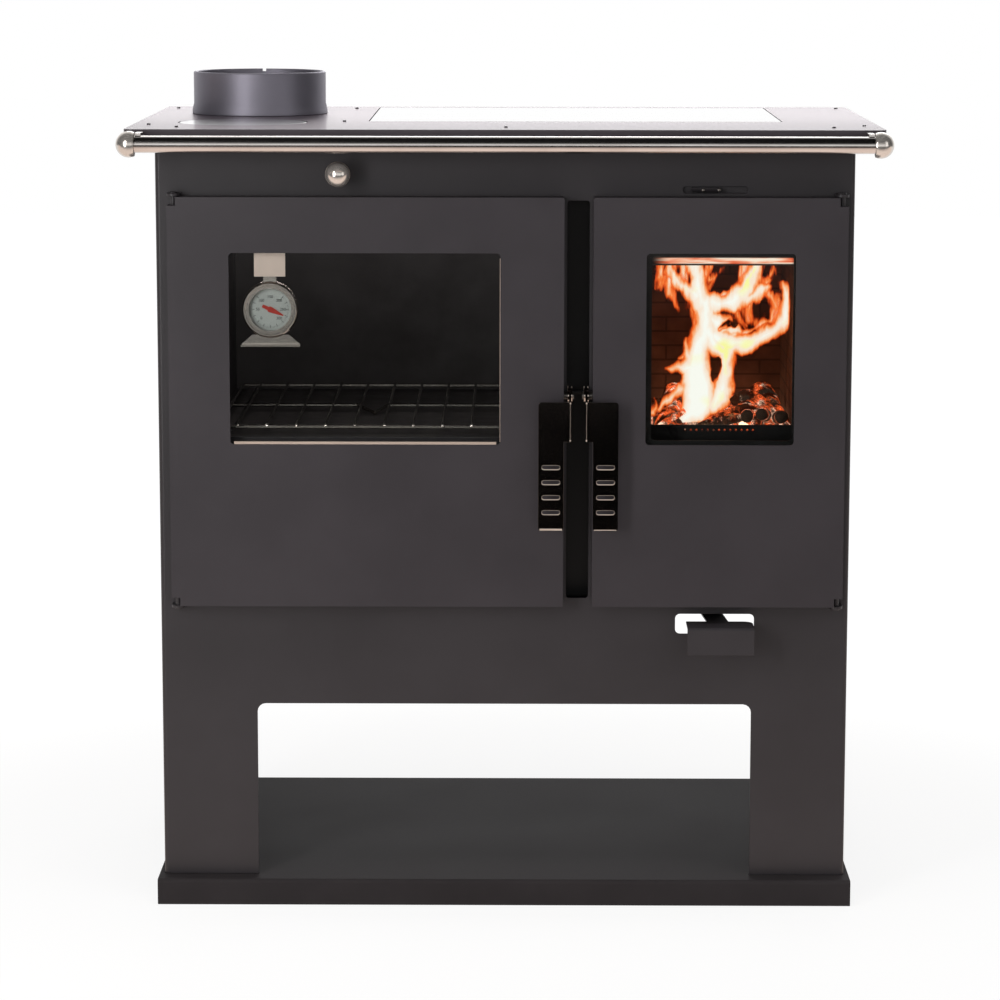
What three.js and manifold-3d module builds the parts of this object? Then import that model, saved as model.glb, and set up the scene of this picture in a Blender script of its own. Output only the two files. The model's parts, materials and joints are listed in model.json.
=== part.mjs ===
// A wood-fired cookstove: an oven behind the left door, a firebox with its ash pan behind the right
// door, an open wood store below, a glass-ceramic hob, a cleaning lid and a flue collar on top.
// Millimetres, +Z up. The pieces are laid out with y = 0 on the outer face of the front panel and
// +Y towards the back; the last lines move the whole stove so that it stands centred on the origin.

import * as THREE from 'three';
import { mergeVertices } from 'three/addons/utils/BufferGeometryUtils.js';
import Module from 'manifold-3d';

const wasm = await Module();
wasm.setup();

// ---------------------------------------------------------------- driving dimensions

const gap = 0.3; // between pieces that rest on or against each other
const sheet = 3; // hull sheet
const thinSheet = 2; // liners, pan, channel

const bodyWidth = 732;
const bodyDepth = 436;
const topHeight = 830; // cooking surface above the floor

const halfBody = bodyWidth / 2;

const base = { width: bodyWidth + 11, front: 23, back: 3, height: 28, bend: 4, lip: 18 };
const topPlate = {
  thickness: 4, width: bodyWidth + 56, front: 41.5, back: 6, corner: 10, skirt: 18, skirtWall: 3,
};
const ashFloorZ = 318; // underside of the floor under the ash pan

const woodStore = { width: bodyWidth - 204, top: ashFloorZ - 102, corner: 9 };
const leverHole = { x: halfBody - 142, z: ashFloorZ - 14.4, width: 84, height: 21.7, corner: 5 };

const doorProud = 26; // door face ahead of the front panel
const doorRear = 2; // door rim ahead of the front panel
const doorGap = 30.3; // between the two doors, where the handles hook in
const doorBottom = ashFloorZ + 8.7;
const doorTop = topHeight - 71;
const doorHeight = doorTop - doorBottom;
const fireDoorWidth = 265;
const fireDoor = { left: halfBody - 8.6 - fireDoorWidth, width: fireDoorWidth, hingeLeft: false };
const ovenDoorLeft = -halfBody + 14.3;
const ovenDoor = {
  left: ovenDoorLeft, width: fireDoor.left - doorGap - ovenDoorLeft, hingeLeft: true,
};
const ovenDoorRight = ovenDoor.left + ovenDoor.width;
const fireDoorRight = fireDoor.left + fireDoor.width;
const windowZ = { bottom: doorBottom + 172.9, top: doorTop - 58, corner: 4 };
const ovenWindow = { left: ovenDoor.left + 63.9, right: ovenDoorRight - 66.4 };
const fireWindow = { left: fireDoor.left + 55.5, right: fireDoorRight - 53.9 };
const glass = { thickness: 4, overlap: 14 };
const hingePin = { radius: 3, inset: 6, notch: 9, ear: 3, reach: 7 };
const hingeOffset = 14; // hinge axis ahead of the front panel
const gasket = { width: 12, depth: 8.6 };

const mouthTop = doorTop - 31;
const ovenCavity = {
  left: ovenDoor.left + 36.7, right: ovenDoorRight - 37.1, floor: windowZ.bottom + 4.4, roof: mouthTop,
  back: bodyDepth - 41,
};
const ovenSheet = 2.5;
const fireMouth = {
  left: fireDoor.left + 29.6, right: fireDoorRight - 29.4, bottom: doorBottom + 31.3, top: mouthTop,
};
const mouthCorner = 6;

const rail = {
  radius: 8.75, wall: 1.5, z: topHeight - 13.5, ahead: 75, ball: 13.5,
  half: topPlate.width / 2 - 15.7, ballX: topPlate.width / 2 - 9.7,
};
const railArm = {
  x: topPlate.width / 2 - 19, width: 6, top: topHeight - 2, bottom: topHeight - 17.5,
};

const hob = {
  left: -halfBody + 219.5, right: halfBody - 69, front: 120, back: bodyDepth - sheet - 15.5, corner: 3, slit: 1,
  seat: 15,
};
const flue = {
  x: -halfBody + 89.4, y: bodyDepth - 146, bore: 70.5, outer: 74, foot: 75.8, height: 47, spigot: 12,
  clear: 1,
};
const lid = {
  x: -halfBody + 85, y: 101, radius: 68.4, slit: 0.9, ledge: 9, seatWidth: 12, rib: 48, lifter: 62,
};

const handlePivotZ = doorTop - 208.5;
const handle = {
  width: 26.6, bottom: handlePivotZ - 138.7, top: handlePivotZ - 3, wingBottom: handlePivotZ - 44.5,
  plate: 2.5, ahead: 47, lip: 7,
};
const flange = { inset: 5.4, thickness: 2.4, ear: 8, bush: 4.8, bore: 3.3 };
const catchPin = { y: sheet + 3, z: handlePivotZ + 1.5, radius: 3 };
const slots = { count: 4, top: handlePivotZ - 71.6, pitch: 15.9, length: 19.2, height: 4.9 };
const latchSlot = { left: ovenDoorRight + 3.4, right: fireDoor.left - 3.4, end: 5 };
const latchChannel = { depth: 19 };

const damper = {
  x: flue.x + 103.3, z: topHeight - 47, knob: 12.8, knobAhead: 29, rod: 4, bush: 9,
};
const airSlotLeft = fireDoor.left + 93.6;
const airSlot = { left: airSlotLeft, right: airSlotLeft + 68, z: topHeight - 64.5, height: 7 };
const airTab = { x: airSlot.left + 24, width: 30, out: 4 };

const lever = {
  x: leverHole.x - 10, y: 150, angle: 4.65, width: 22.8, top: ashFloorZ - 10, plate: 2, rotor: 42,
  joggle: 70, bolt: 4,
};
const leverHead = {
  x: lever.x + 14.4, width: 70.5, back: 7.5, front: 45, bottom: ashFloorZ - 39.4, bend: 3, corner: 10,
};
const airHoles = { ring: 27, radius: 8, count: 3 };

const divider = { x: fireMouth.left - 19, top: topHeight - 85 };
const brick = {
  thickness: 26, left: fireMouth.left - 8, right: fireMouth.right + 14, back: bodyDepth - 84,
  top: topHeight - 95,
};
const grate = {
  z: doorBottom + 130.3, thickness: 11, left: brick.left + 46, right: brick.right - 46, front: 70,
  back: brick.back - 52, bars: 9,
};
const shelf = { thickness: 3, front: 5 };
const guard = {
  y: 26, thickness: 3, left: brick.left + 29, right: brick.right - 29, top: grate.z + 57,
};
const guardDots = { count: 13, x: guard.left + 49, pitch: 6, z: guard.top - 5.5, radius: 1.5 };
const ashPan = {
  left: fireMouth.left + 6, right: fireMouth.right - 6, front: 34, back: brick.back - 22, height: 74,
  lift: 12,
};

const smokeHole = {
  left: flue.x - 68.4, right: flue.x + 68.6, front: flue.y - 62, back: flue.y + 62,
};
const smokeShelf = { z: topHeight - 62, right: smokeHole.right + 90, front: 60 };
const slide = { margin: 8 };

const rackHalf = (ovenCavity.right - ovenCavity.left) / 2 - 9;
const rack = {
  z: ovenCavity.floor + 7.5, front: 25, back: ovenCavity.back - 23, half: rackHalf, bars: 10,
  pitch: (2 * rackHalf - 11) / 10, thick: 2, thin: 1.5,
};
const rackDip = { width: 13, drop: 4.5, forward: 30 };

const dial = {
  x: ovenWindow.left + 42.2, z: windowZ.top - 60.4, caseRadius: 30, bezel: 27.5, face: 22,
  front: doorProud - 8.8, depth: 13,
};
const hanger = { width: 32.6, bottom: dial.z + 34.9, top: dial.z + 81.4, thickness: 1.2 };

// ---------------------------------------------------------------- worked-out sizes

const innerHalf = halfBody - sheet;
const plateUnder = topHeight - topPlate.thickness;
const wallTop = plateUnder - gap;
const wallFoot = base.height + gap;
const innerFront = sheet + gap;
const innerBack = bodyDepth - sheet - gap;
const ashFloorTop = ashFloorZ + sheet;
const ovenCentreX = (ovenCavity.left + ovenCavity.right) / 2;
const panDepth = doorProud - doorRear;
const ashPanZ = ashFloorTop + ashPan.lift;

// ---------------------------------------------------------------- shapes and solids

const X = new THREE.Vector3(1, 0, 0);
const Y = new THREE.Vector3(0, 1, 0);
const Z = new THREE.Vector3(0, 0, 1);

function shapeOf(points) {
  return new THREE.Shape(points.map(([x, y]) => new THREE.Vector2(x, y)));
}

// A rectangle with round corners, drawn counter-clockwise.
function roundRect(x0, x1, y0, y1, r = 0, Kind = THREE.Shape) {
  const s = new Kind();
  if (r <= 0) {
    s.setFromPoints([[x0, y0], [x1, y0], [x1, y1], [x0, y1]].map(([x, y]) => new THREE.Vector2(x, y)));
    return s;
  }
  s.moveTo(x0 + r, y0);
  s.lineTo(x1 - r, y0);
  s.absarc(x1 - r, y0 + r, r, -Math.PI / 2, 0, false);
  s.lineTo(x1, y1 - r);
  s.absarc(x1 - r, y1 - r, r, 0, Math.PI / 2, false);
  s.lineTo(x0 + r, y1);
  s.absarc(x0 + r, y1 - r, r, Math.PI / 2, Math.PI, false);
  s.lineTo(x0, y0 + r);
  s.absarc(x0 + r, y0 + r, r, Math.PI, Math.PI * 1.5, false);
  return s;
}

const rectHole = (x0, x1, y0, y1, r = 0) => roundRect(x0, x1, y0, y1, r, THREE.Path);

function circlePath(x, y, r, Kind = THREE.Path) {
  const s = new Kind();
  s.absarc(x, y, r, 0, Math.PI * 2, false);
  return s;
}

// A rectangle with a rectangular hole, as rims and gaskets have.
function frameShape(x0, x1, y0, y1, wide, r = 0) {
  const s = roundRect(x0, x1, y0, y1, r);
  s.holes.push(rectHole(x0 + wide, x1 - wide, y0 + wide, y1 - wide, Math.max(r - wide, 0)));
  return s;
}

function extrude(shape, depth, steps = 2) {
  return new THREE.ExtrudeGeometry(shape, { depth, bevelEnabled: false, curveSegments: steps });
}

// The three ways a flat outline is laid: level, facing the front, or facing the side.
function plateXY(shape, z0, z1, steps) {
  return extrude(shape, z1 - z0, steps).translate(0, 0, z0);
}

function plateXZ(shape, y0, y1, steps) {
  return extrude(shape, y1 - y0, steps).rotateX(Math.PI / 2).translate(0, y1, 0);
}

function plateYZ(shape, x0, x1, steps) {
  const turn = new THREE.Matrix4().makeBasis(Y, Z, X);
  return extrude(shape, x1 - x0, steps).applyMatrix4(turn).translate(x0, 0, 0);
}

function box(x0, x1, y0, y1, z0, z1) {
  const g = new THREE.BoxGeometry(x1 - x0, y1 - y0, z1 - z0);
  return g.translate((x0 + x1) / 2, (y0 + y1) / 2, (z0 + z1) / 2);
}

// Round bars along each axis: radius, the two ends, then the place across the axis.
function barX(r, x0, x1, y, z, sides = 16) {
  const g = new THREE.CylinderGeometry(r, r, x1 - x0, sides);
  return g.rotateZ(-Math.PI / 2).translate((x0 + x1) / 2, y, z);
}

function barY(r, y0, y1, x, z, sides = 16) {
  return new THREE.CylinderGeometry(r, r, y1 - y0, sides).translate(x, (y0 + y1) / 2, z);
}

function barZ(r, z0, z1, x, y, sides = 16) {
  const g = new THREE.CylinderGeometry(r, r, z1 - z0, sides);
  return g.rotateX(Math.PI / 2).translate(x, y, (z0 + z1) / 2);
}

// A turned piece from its half section [radius, height], standing on Z.
function turned(profile, sides = 32) {
  const points = profile.map(([r, h]) => new THREE.Vector2(r, h));
  return new THREE.LatheGeometry(points, sides).rotateX(Math.PI / 2);
}

function solidOf(geometry) {
  const bare = geometry.clone();
  bare.deleteAttribute('normal');
  bare.deleteAttribute('uv');
  const merged = mergeVertices(bare, 1e-4);
  const mesh = new wasm.Mesh({
    numProp: 3,
    vertProperties: new Float32Array(merged.attributes.position.array),
    triVerts: new Uint32Array(merged.index.array),
  });
  return new wasm.Manifold(mesh);
}

function geometryOf(solid) {
  const mesh = solid.getMesh();
  const g = new THREE.BufferGeometry();
  g.setAttribute('position', new THREE.BufferAttribute(new Float32Array(mesh.vertProperties), 3));
  g.setIndex(new THREE.BufferAttribute(new Uint32Array(mesh.triVerts), 1));
  return g;
}

function fuse(...pieces) {
  return geometryOf(pieces.map(solidOf).reduce((a, b) => a.add(b)));
}

function cut(piece, ...tools) {
  return geometryOf(tools.map(solidOf).reduce((a, b) => a.subtract(b), solidOf(piece)));
}

// ---------------------------------------------------------------- finishes

const finish = (color, roughness, metalness) => ({ color, roughness, metalness });
const paint = finish('#3a383c', 0.55, 0.1);
const darkPaint = finish('#2a292c', 0.6, 0.1);
const blackPaint = finish('#0c0c0d', 0.8, 0.05);
const rawSteel = finish('#6a6764', 0.55, 0.8);
const chromed = finish('#cfcbc8', 0.12, 1);
const smokedChrome = finish('#1b1716', 0.15, 1);
const castIron = finish('#33343a', 0.5, 0.4);
const hobGlass = finish('#16171a', 0.05, 0);
const clearGlass = finish('#c8ced0', 0.05, 0);
const rope = finish('#5f5c58', 0.95, 0);
const fireclay = finish('#8a5a42', 0.9, 0);
const enamel = finish('#2b2c2e', 0.35, 0.1);
const dialFace = finish('#dcdcda', 0.5, 0);
const redPaint = finish('#b5252a', 0.45, 0);

function piece(name, geometry, look) {
  const material = new THREE.MeshStandardMaterial(look);
  const mesh = new THREE.Mesh(geometry, material);
  mesh.name = name;
  return mesh;
}

function groupAt(x, y, z, ...children) {
  const group = new THREE.Group();
  group.position.set(x, y, z);
  group.add(...children);
  return group;
}

// ---------------------------------------------------------------- hull

// The folded tray that the stove stands on: top sheet, four turned-down sides, a lip underneath.
function baseTray() {
  const { width, front, back, height, bend, lip } = base;
  const y0 = -front;
  const y1 = bodyDepth + back;
  const section = new THREE.Shape();
  section.moveTo(y0, 0);
  section.lineTo(y1, 0);
  section.lineTo(y1, height - bend);
  section.absarc(y1 - bend, height - bend, bend, 0, Math.PI / 2, false);
  section.lineTo(y0 + bend, height);
  section.absarc(y0 + bend, height - bend, bend, Math.PI / 2, Math.PI, false);
  const outside = plateYZ(section, -width / 2, width / 2);
  const half = width / 2 - sheet;
  const hollow = box(-half, half, y0 + sheet, y1 - sheet, sheet, height - sheet);
  const mouth = box(-half + lip, half - lip, y0 + sheet + lip, y1 - sheet - lip, -1, height / 2);
  return piece('base_tray', cut(outside, hollow, mouth), paint);
}

// The front sheet with its round folded corners and every opening of the face.
function frontPanel() {
  const bend = 5;
  const back = 24;
  const outline = new THREE.Shape();
  outline.moveTo(-halfBody, back);
  outline.lineTo(-halfBody, bend);
  outline.absarc(-halfBody + bend, bend, bend, Math.PI, Math.PI * 1.5, false);
  outline.lineTo(halfBody - bend, 0);
  outline.absarc(halfBody - bend, bend, bend, -Math.PI / 2, 0, false);
  outline.lineTo(halfBody, back);
  outline.lineTo(innerHalf, back);
  outline.lineTo(innerHalf, bend);
  outline.absarc(halfBody - bend, bend, bend - sheet, 0, -Math.PI / 2, true);
  outline.lineTo(-halfBody + bend, sheet);
  outline.absarc(-halfBody + bend, bend, bend - sheet, Math.PI * 1.5, Math.PI, true);
  outline.lineTo(-innerHalf, back);
  const folded = plateXY(outline, wallFoot, wallTop);
  const through = (shape, steps) => plateXZ(shape, -1, sheet + 1, steps);
  const store = woodStore.width / 2;
  const { x, z, width, height, corner } = leverHole;
  const cavity = ovenCavity;
  const mouth = fireMouth;
  return piece('front_panel', cut(
    folded,
    through(roundRect(-store, store, -20, woodStore.top, woodStore.corner)),
    through(roundRect(x - width / 2, x + width / 2, z - height / 2, z + height / 2, corner)),
    through(roundRect(cavity.left, cavity.right, cavity.floor, cavity.roof, mouthCorner)),
    through(roundRect(mouth.left, mouth.right, mouth.bottom, mouth.top, mouthCorner)),
    through(roundRect(latchSlot.left, latchSlot.right, doorBottom + latchSlot.end,
      doorBottom + doorHeight - latchSlot.end, 3)),
    through(roundRect(airSlot.left, airSlot.right, airSlot.z - airSlot.height / 2,
      airSlot.z + airSlot.height / 2, 3)),
    barY(damper.rod + 1, -1, sheet + 1, damper.x, damper.z),
  ), paint);
}

function sidePanel(name, side) {
  const outer = side * halfBody;
  const inner = side * innerHalf;
  const start = 24 + gap;
  return piece(name, box(Math.min(outer, inner), Math.max(outer, inner), start, bodyDepth,
    wallFoot, wallTop), paint);
}

function backPanel() {
  const half = innerHalf - gap;
  return piece('back_panel', box(-half, half, bodyDepth - sheet, bodyDepth, ashFloorZ, wallTop), paint);
}

// The floor under the ash pan, with two runners for the pan. The primary air comes up through its
// ring of holes.
function ashFloor() {
  const half = innerHalf - gap;
  const floor = plateXY(roundRect(-half, half, innerFront, innerBack, 4), ashFloorZ, ashFloorTop);
  const runner = (x) => box(x - 4, x + 4, ashPan.front, ashPan.back, ashFloorTop - 1, ashPanZ - gap);
  const runners = [runner(ashPan.left + 16), runner(ashPan.right - 16)];
  const holes = airPorts(ashFloorZ - 1, ashFloorTop + 1);
  const pivot = barZ(lever.bolt + gap, ashFloorZ - 1, ashFloorTop + 1, lever.x, lever.y);
  return piece('ash_floor', cut(fuse(floor, ...runners), pivot, ...holes), darkPaint);
}

function airPorts(z0, z1) {
  const ports = [];
  for (let i = 0; i < airHoles.count; i++) {
    const a = (i * 2 * Math.PI) / airHoles.count;
    const x = lever.x + airHoles.ring * Math.cos(a);
    const y = lever.y + airHoles.ring * Math.sin(a);
    ports.push(barZ(airHoles.radius, z0, z1, x, y));
  }
  return ports;
}

// ---------------------------------------------------------------- top

const halfTop = topPlate.width / 2;
const topScrewPlaces = [
  [17.4 - halfTop, 49], [51 - halfTop, 4], [15.3 - halfTop, bodyDepth - 38],
  [hob.left - 26.5, hob.front - 5.6], [hob.left - 26.2, bodyDepth - 41],
  [1, 4], [halfTop - 51, 4], [halfTop - 16, 40], [halfTop - 14, bodyDepth - 31],
];

function topPlateMesh() {
  const { width, front, back, corner, skirt, skirtWall } = topPlate;
  const half = width / 2;
  const y0 = -front;
  const y1 = bodyDepth + back;
  const deck = roundRect(-half, half, y0, y1, corner);
  deck.holes.push(rectHole(hob.left - hob.slit, hob.right + hob.slit, hob.front - hob.slit,
    hob.back + hob.slit, hob.corner));
  for (const [x, y] of topScrewPlaces) deck.holes.push(circlePath(x, y, 2.2));
  const flueHole = barZ(flue.bore + 3 + flue.clear, plateUnder - 1, topHeight + 1, flue.x, flue.y, 40);
  const lidHole = barZ(lid.radius + lid.slit, plateUnder - 1, topHeight + 1, lid.x, lid.y, 40);
  const rim = frameShape(-half, half, y0, y1, skirtWall, corner);
  const deckGeometry = plateXY(deck, plateUnder, topHeight);
  const rimGeometry = plateXY(rim, topHeight - skirt, plateUnder + 1);
  return piece('top_plate', cut(fuse(deckGeometry, rimGeometry), flueHole, lidHole), paint);
}

function hobPanel() {
  const shape = roundRect(hob.left, hob.right, hob.front, hob.back, hob.corner);
  return piece('hob_glass', plateXY(shape, plateUnder, topHeight), hobGlass);
}

// The angle frame under the deck that carries the glass on its inner edge.
function hobFrame() {
  const out = hob.seat;
  const shape = frameShape(hob.left - out, hob.right + out, hob.front - out, hob.back + out, 2 * out);
  return piece('hob_frame', plateXY(shape, plateUnder - gap - 4, plateUnder - gap), darkPaint);
}

function flueCollar() {
  const { x, y, bore, outer, foot, height, spigot } = flue;
  const profile = [
    [bore, -spigot], [bore + 3, -spigot], [bore + 3, gap], [foot, gap], [foot, 5], [outer, 12],
    [outer, height - 1], [outer - 1, height], [bore + 0.6, height], [bore, height - 1], [bore, -spigot],
  ];
  const tube = turned(profile, 40).translate(x, y, topHeight);
  const nick = box(x - 2, x + 2, y + bore - 2, y + outer + 2, topHeight + height - 3, topHeight + height + 1);
  return piece('flue_collar', cut(tube, nick), castIron);
}

function lidSeat() {
  const inner = lid.radius - lid.ledge;
  const outer = lid.radius + lid.seatWidth;
  const shape = circlePath(lid.x, lid.y, outer, THREE.Shape);
  shape.holes.push(circlePath(lid.x, lid.y, inner));
  return piece('lid_seat', plateXY(shape, plateUnder - gap - 3, plateUnder - gap, 14), darkPaint);
}

// The cast lid: a flat disc with a ring rib below and a slot for the lifting hook.
function roundLid() {
  const { radius, rib, lifter } = lid;
  const deep = 9;
  const disc = turned([
    [0, -4.5], [rib - 8, -4.5], [rib - 8, -deep], [rib, -deep], [rib, -4], [radius - 0.8, -4],
    [radius, -3.2], [radius, -0.8], [radius - 0.8, 0], [0, 0],
  ], 40);
  const slot = plateXY(roundRect(-lifter - 6, -lifter + 4, -3, 3, 2.9), -deep - 1, 1);
  return groupAt(lid.x, lid.y, topHeight, piece('round_lid', cut(disc, slot), castIron));
}

// ---------------------------------------------------------------- towel rail

function railTube() {
  const { radius, wall, half, ahead, z } = rail;
  const tube = cut(barX(radius, -half, half, 0, 0, 24), barX(radius - wall, -half - 1, half + 1, 0, 0, 24));
  return groupAt(0, -ahead, z, piece('rail_tube', tube, chromed));
}

// A ball with a flat inner face and a spigot that plugs the tube.
function railCap(name, side) {
  const { ball, ballX, half, radius, wall } = rail;
  const flat = ballX - half - gap;
  const start = Math.acos(-flat / ball);
  const arc = 8;
  const profile = [[0, -flat - 10], [radius - wall - gap, -flat - 10], [radius - wall - gap, -flat]];
  for (let i = 0; i <= arc; i++) {
    const a = start * (1 - i / arc);
    profile.push([ball * Math.sin(a), ball * Math.cos(a)]);
  }
  profile[profile.length - 1][0] = 0;
  const cap = turned(profile, 24).rotateY((side * Math.PI) / 2);
  return groupAt(side * ballX, -rail.ahead, rail.z, piece(name, cap, chromed));
}

// An arm from the deck's folded edge that the rail lies against, saddled round the tube.
function railBracket(name, side) {
  const { x, width, top, bottom } = railArm;
  const left = side * x - width / 2;
  const arm = box(left, left + width, -rail.ahead - 1, -topPlate.front - gap, bottom, top);
  const saddle = barX(rail.radius + gap, left - 1, left + width + 1, -rail.ahead, rail.z, 24);
  return piece(name, cut(arm, saddle), chromed);
}

// ---------------------------------------------------------------- oven

// The oven muffle, with a flange behind the front panel and two ribs that carry the rack.
function ovenBox() {
  const { left, right, floor, roof, back } = ovenCavity;
  const t = ovenSheet;
  const shell = box(left - t, right + t, innerFront, back + t, floor - t, roof + t);
  const flangeWide = 14;
  const face = roundRect(left - flangeWide, right + flangeWide, floor - flangeWide, roof + flangeWide, 4);
  const rim = plateXZ(face, innerFront, innerFront + t);
  const hollow = box(left, right, innerFront - 1, back, floor, roof);
  const ribTop = rack.z - rack.thick - gap;
  const rib = (x) => box(x - 4, x + 4, rack.front + 10, rack.back - 4, floor - 1, ribTop);
  const reach = rack.half - 12;
  const muffle = cut(fuse(shell, rim), hollow);
  return piece('oven_box', fuse(muffle, rib(ovenCentreX - reach), rib(ovenCentreX + reach)), enamel);
}

function ovenRack() {
  const { z, front, back, half, pitch, bars, thick, thin } = rack;
  const middle = (front + back) / 2;
  const wires = [];
  for (let i = 0; i < bars; i++) {
    const x = (i - (bars - 1) / 2) * pitch;
    wires.push(barY(thin, front - 1.5, back, x, z + thick, 5));
  }
  for (const y of [front, back]) wires.push(barX(thick, -half, half, y, z, 6));
  for (const x of [-half, half]) wires.push(barY(thick, front, back, x, z, 6));
  const dip = [
    [-half, 0, 0], [-rackDip.width - 8, 0, 0], [0, -rackDip.forward, -rackDip.drop],
    [rackDip.width, 0, 0], [half, 0, 0],
  ];
  const at = dip.map(([x, y, dz]) => new THREE.Vector3(x, middle + y, z + dz));
  const straight = [[at[0], at[1]], [at[3], at[4]]];
  for (const [a, b] of straight) wires.push(barX(thick, a.x, b.x, a.y, a.z, 6));
  for (const [a, b] of [[at[1], at[2]], [at[2], at[3]]]) wires.push(wireBetween(a, b, thick));
  return groupAt(ovenCentreX + 1, 0, 0, piece('oven_rack', fuse(...wires), chromed));
}

function wireBetween(a, b, radius) {
  const run = new THREE.Vector3().subVectors(b, a);
  const reach = radius * 0.6;
  const g = new THREE.CylinderGeometry(radius, radius, run.length() + 2 * reach, 6);
  const turn = new THREE.Quaternion().setFromUnitVectors(Y, run.clone().normalize());
  g.applyQuaternion(turn);
  const mid = new THREE.Vector3().addVectors(a, b).multiplyScalar(0.5);
  return g.translate(mid.x, mid.y, mid.z);
}

// ---------------------------------------------------------------- firebox

function dividerWall() {
  return piece('divider_wall', box(divider.x - sheet, divider.x, innerFront, ovenCavity.back + ovenSheet,
    ashFloorTop + gap, divider.top), rawSteel);
}

// The shelf that carries the bricks and the grate over the ash pan, on four legs.
function grateShelf() {
  const z1 = grate.z - grate.thickness - gap;
  const z0 = z1 - shelf.thickness;
  const outline = roundRect(divider.x + gap, innerHalf - gap, shelf.front, innerBack);
  outline.holes.push(rectHole(grate.left + 8, grate.right - 8, grate.front + 8, grate.back - 8, 4));
  const left = divider.x + 10;
  const right = innerHalf - 14;
  const spots = [[left, 20], [right, 20], [left, 380], [right, 380]];
  const leg = ([x, y]) => box(x - 6, x + 6, y - 6, y + 6, ashFloorTop + gap, z0 + 1);
  return piece('grate_shelf', fuse(plateXY(outline, z0, z1), ...spots.map(leg)), rawSteel);
}

function fireGrate() {
  const { z, thickness, left, right, front, back, bars } = grate;
  const plate = roundRect(left, right, front, back, 5);
  const pitch = (back - front - 16) / bars;
  for (let i = 0; i < bars; i++) {
    const y = front + 8 + (i + 0.5) * pitch;
    plate.holes.push(rectHole(left + 14, right - 14, y - pitch * 0.27, y + pitch * 0.27));
  }
  return piece('fire_grate', plateXY(plate, z - thickness, z, 3), castIron);
}

function fireBricks() {
  const { thickness, left, right, back, top } = brick;
  const z0 = grate.z - grate.thickness;
  const front = 44;
  const side = (name, x0) => piece(name, box(x0, x0 + thickness, front, back, z0, top), fireclay);
  const rearLeft = left + gap;
  return [
    side('firebrick_left', left),
    side('firebrick_right', right - thickness),
    piece('firebrick_back', box(rearLeft, right, back + gap, back + gap + thickness, z0, top), fireclay),
  ];
}

function logGuard() {
  const { y, thickness, left, right, top } = guard;
  const face = roundRect(left, right, grate.z - grate.thickness, top, 4);
  for (let i = 0; i < guardDots.count; i++) {
    face.holes.push(circlePath(guardDots.x + i * guardDots.pitch, guardDots.z, guardDots.radius));
  }
  return piece('log_guard', plateXZ(face, y, y + thickness, 2), blackPaint);
}

function ashPanMesh() {
  const { left, right, front, back, height } = ashPan;
  const t = thinSheet;
  const z0 = ashPanZ;
  const z1 = z0 + height;
  const tray = box(left, right, front, back, z0, z1);
  const hollow = box(left + t, right - t, front + t, back - t, z0 + t, z1 + 1);
  const middle = (left + right) / 2;
  const grip = box(middle - 45, middle + 45, front - 16, front + 1, z1 - 14, z1 - 14 + t);
  const gripEdge = box(middle - 45, middle + 45, front - 16, front - 16 + t, z1 - 26, z1 - 12);
  return piece('ash_pan', cut(fuse(tray, grip, gripEdge), hollow), rawSteel);
}

// ---------------------------------------------------------------- smoke path and damper

function smokeShelfMesh() {
  const { z, right, front } = smokeShelf;
  const left = -innerHalf + gap;
  const outline = roundRect(left, right, front, innerBack);
  outline.holes.push(rectHole(smokeHole.left, smokeHole.right, smokeHole.front, smokeHole.back, 4));
  const deck = plateXY(outline, z, z + sheet);
  const stand = box(right - sheet, right, front, ovenCavity.back, ovenCavity.roof + ovenSheet + gap, z + 1);
  return piece('smoke_shelf', fuse(deck, stand), rawSteel);
}

function damperParts() {
  const { x, z, knob, knobAhead, rod, bush } = damper;
  const plateZ = smokeShelf.z + sheet + gap;
  const front = smokeHole.front - slide.margin;
  const back = smokeHole.back + slide.margin;
  const lugFront = front + 10;
  const plate = box(smokeHole.left - slide.margin, x + 12, front, back, plateZ, plateZ + 2.5);
  const lug = box(x - 11, x + 11, lugFront, lugFront + 4, plateZ + 1, z + 12);
  const lugHole = barY(rod + gap, lugFront - 1, lugFront + 5, x, z);
  const rodEnd = lugFront + 14;
  const shaft = barY(rod, -knobAhead + knob * 0.7, rodEnd, x, z);
  const ball = [];
  const arc = 10;
  for (let i = 0; i <= arc; i++) {
    const a = (Math.PI * i) / arc;
    ball.push([knob * Math.sin(a), -knob * Math.cos(a)]);
  }
  ball[0][0] = 0;
  ball[arc][0] = 0;
  const sphere = turned(ball, 20).rotateX(-Math.PI / 2).translate(x, -knobAhead, z);
  const socket = barY(rod + gap, -knobAhead + knob * 0.7 - gap, 0, x, z);
  const neck = barY(7.5, -knobAhead + knob * 0.6, -knobAhead + knob + 4, x, z, 20);
  const ring = cut(barY(bush, -3 - gap, -gap, x, z, 24), barY(rod + gap, -5, 1, x, z));
  return [
    piece('damper_slide', cut(fuse(plate, lug), lugHole), rawSteel),
    piece('damper_rod', shaft, rawSteel),
    piece('damper_knob', cut(fuse(sphere, neck), socket), chromed),
    piece('damper_bush', ring, chromed),
  ];
}

// ---------------------------------------------------------------- air controls

function airSlider() {
  const { left, right, z } = airSlot;
  const plate = box(left - 26, right + 26, innerFront, innerFront + 1.5, z - 9, z + 9);
  const tab = box(airTab.x - airTab.width / 2, airTab.x + airTab.width / 2, -airTab.out,
    innerFront + 1, z - 2.2, z + 2.2);
  const port = (x) => barY(3, 0, 10, x, z, 12);
  const ports = [left - 8, left - 18].map(port);
  return piece('air_slider', cut(fuse(plate, tab), ...ports), smokedChrome);
}

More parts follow.
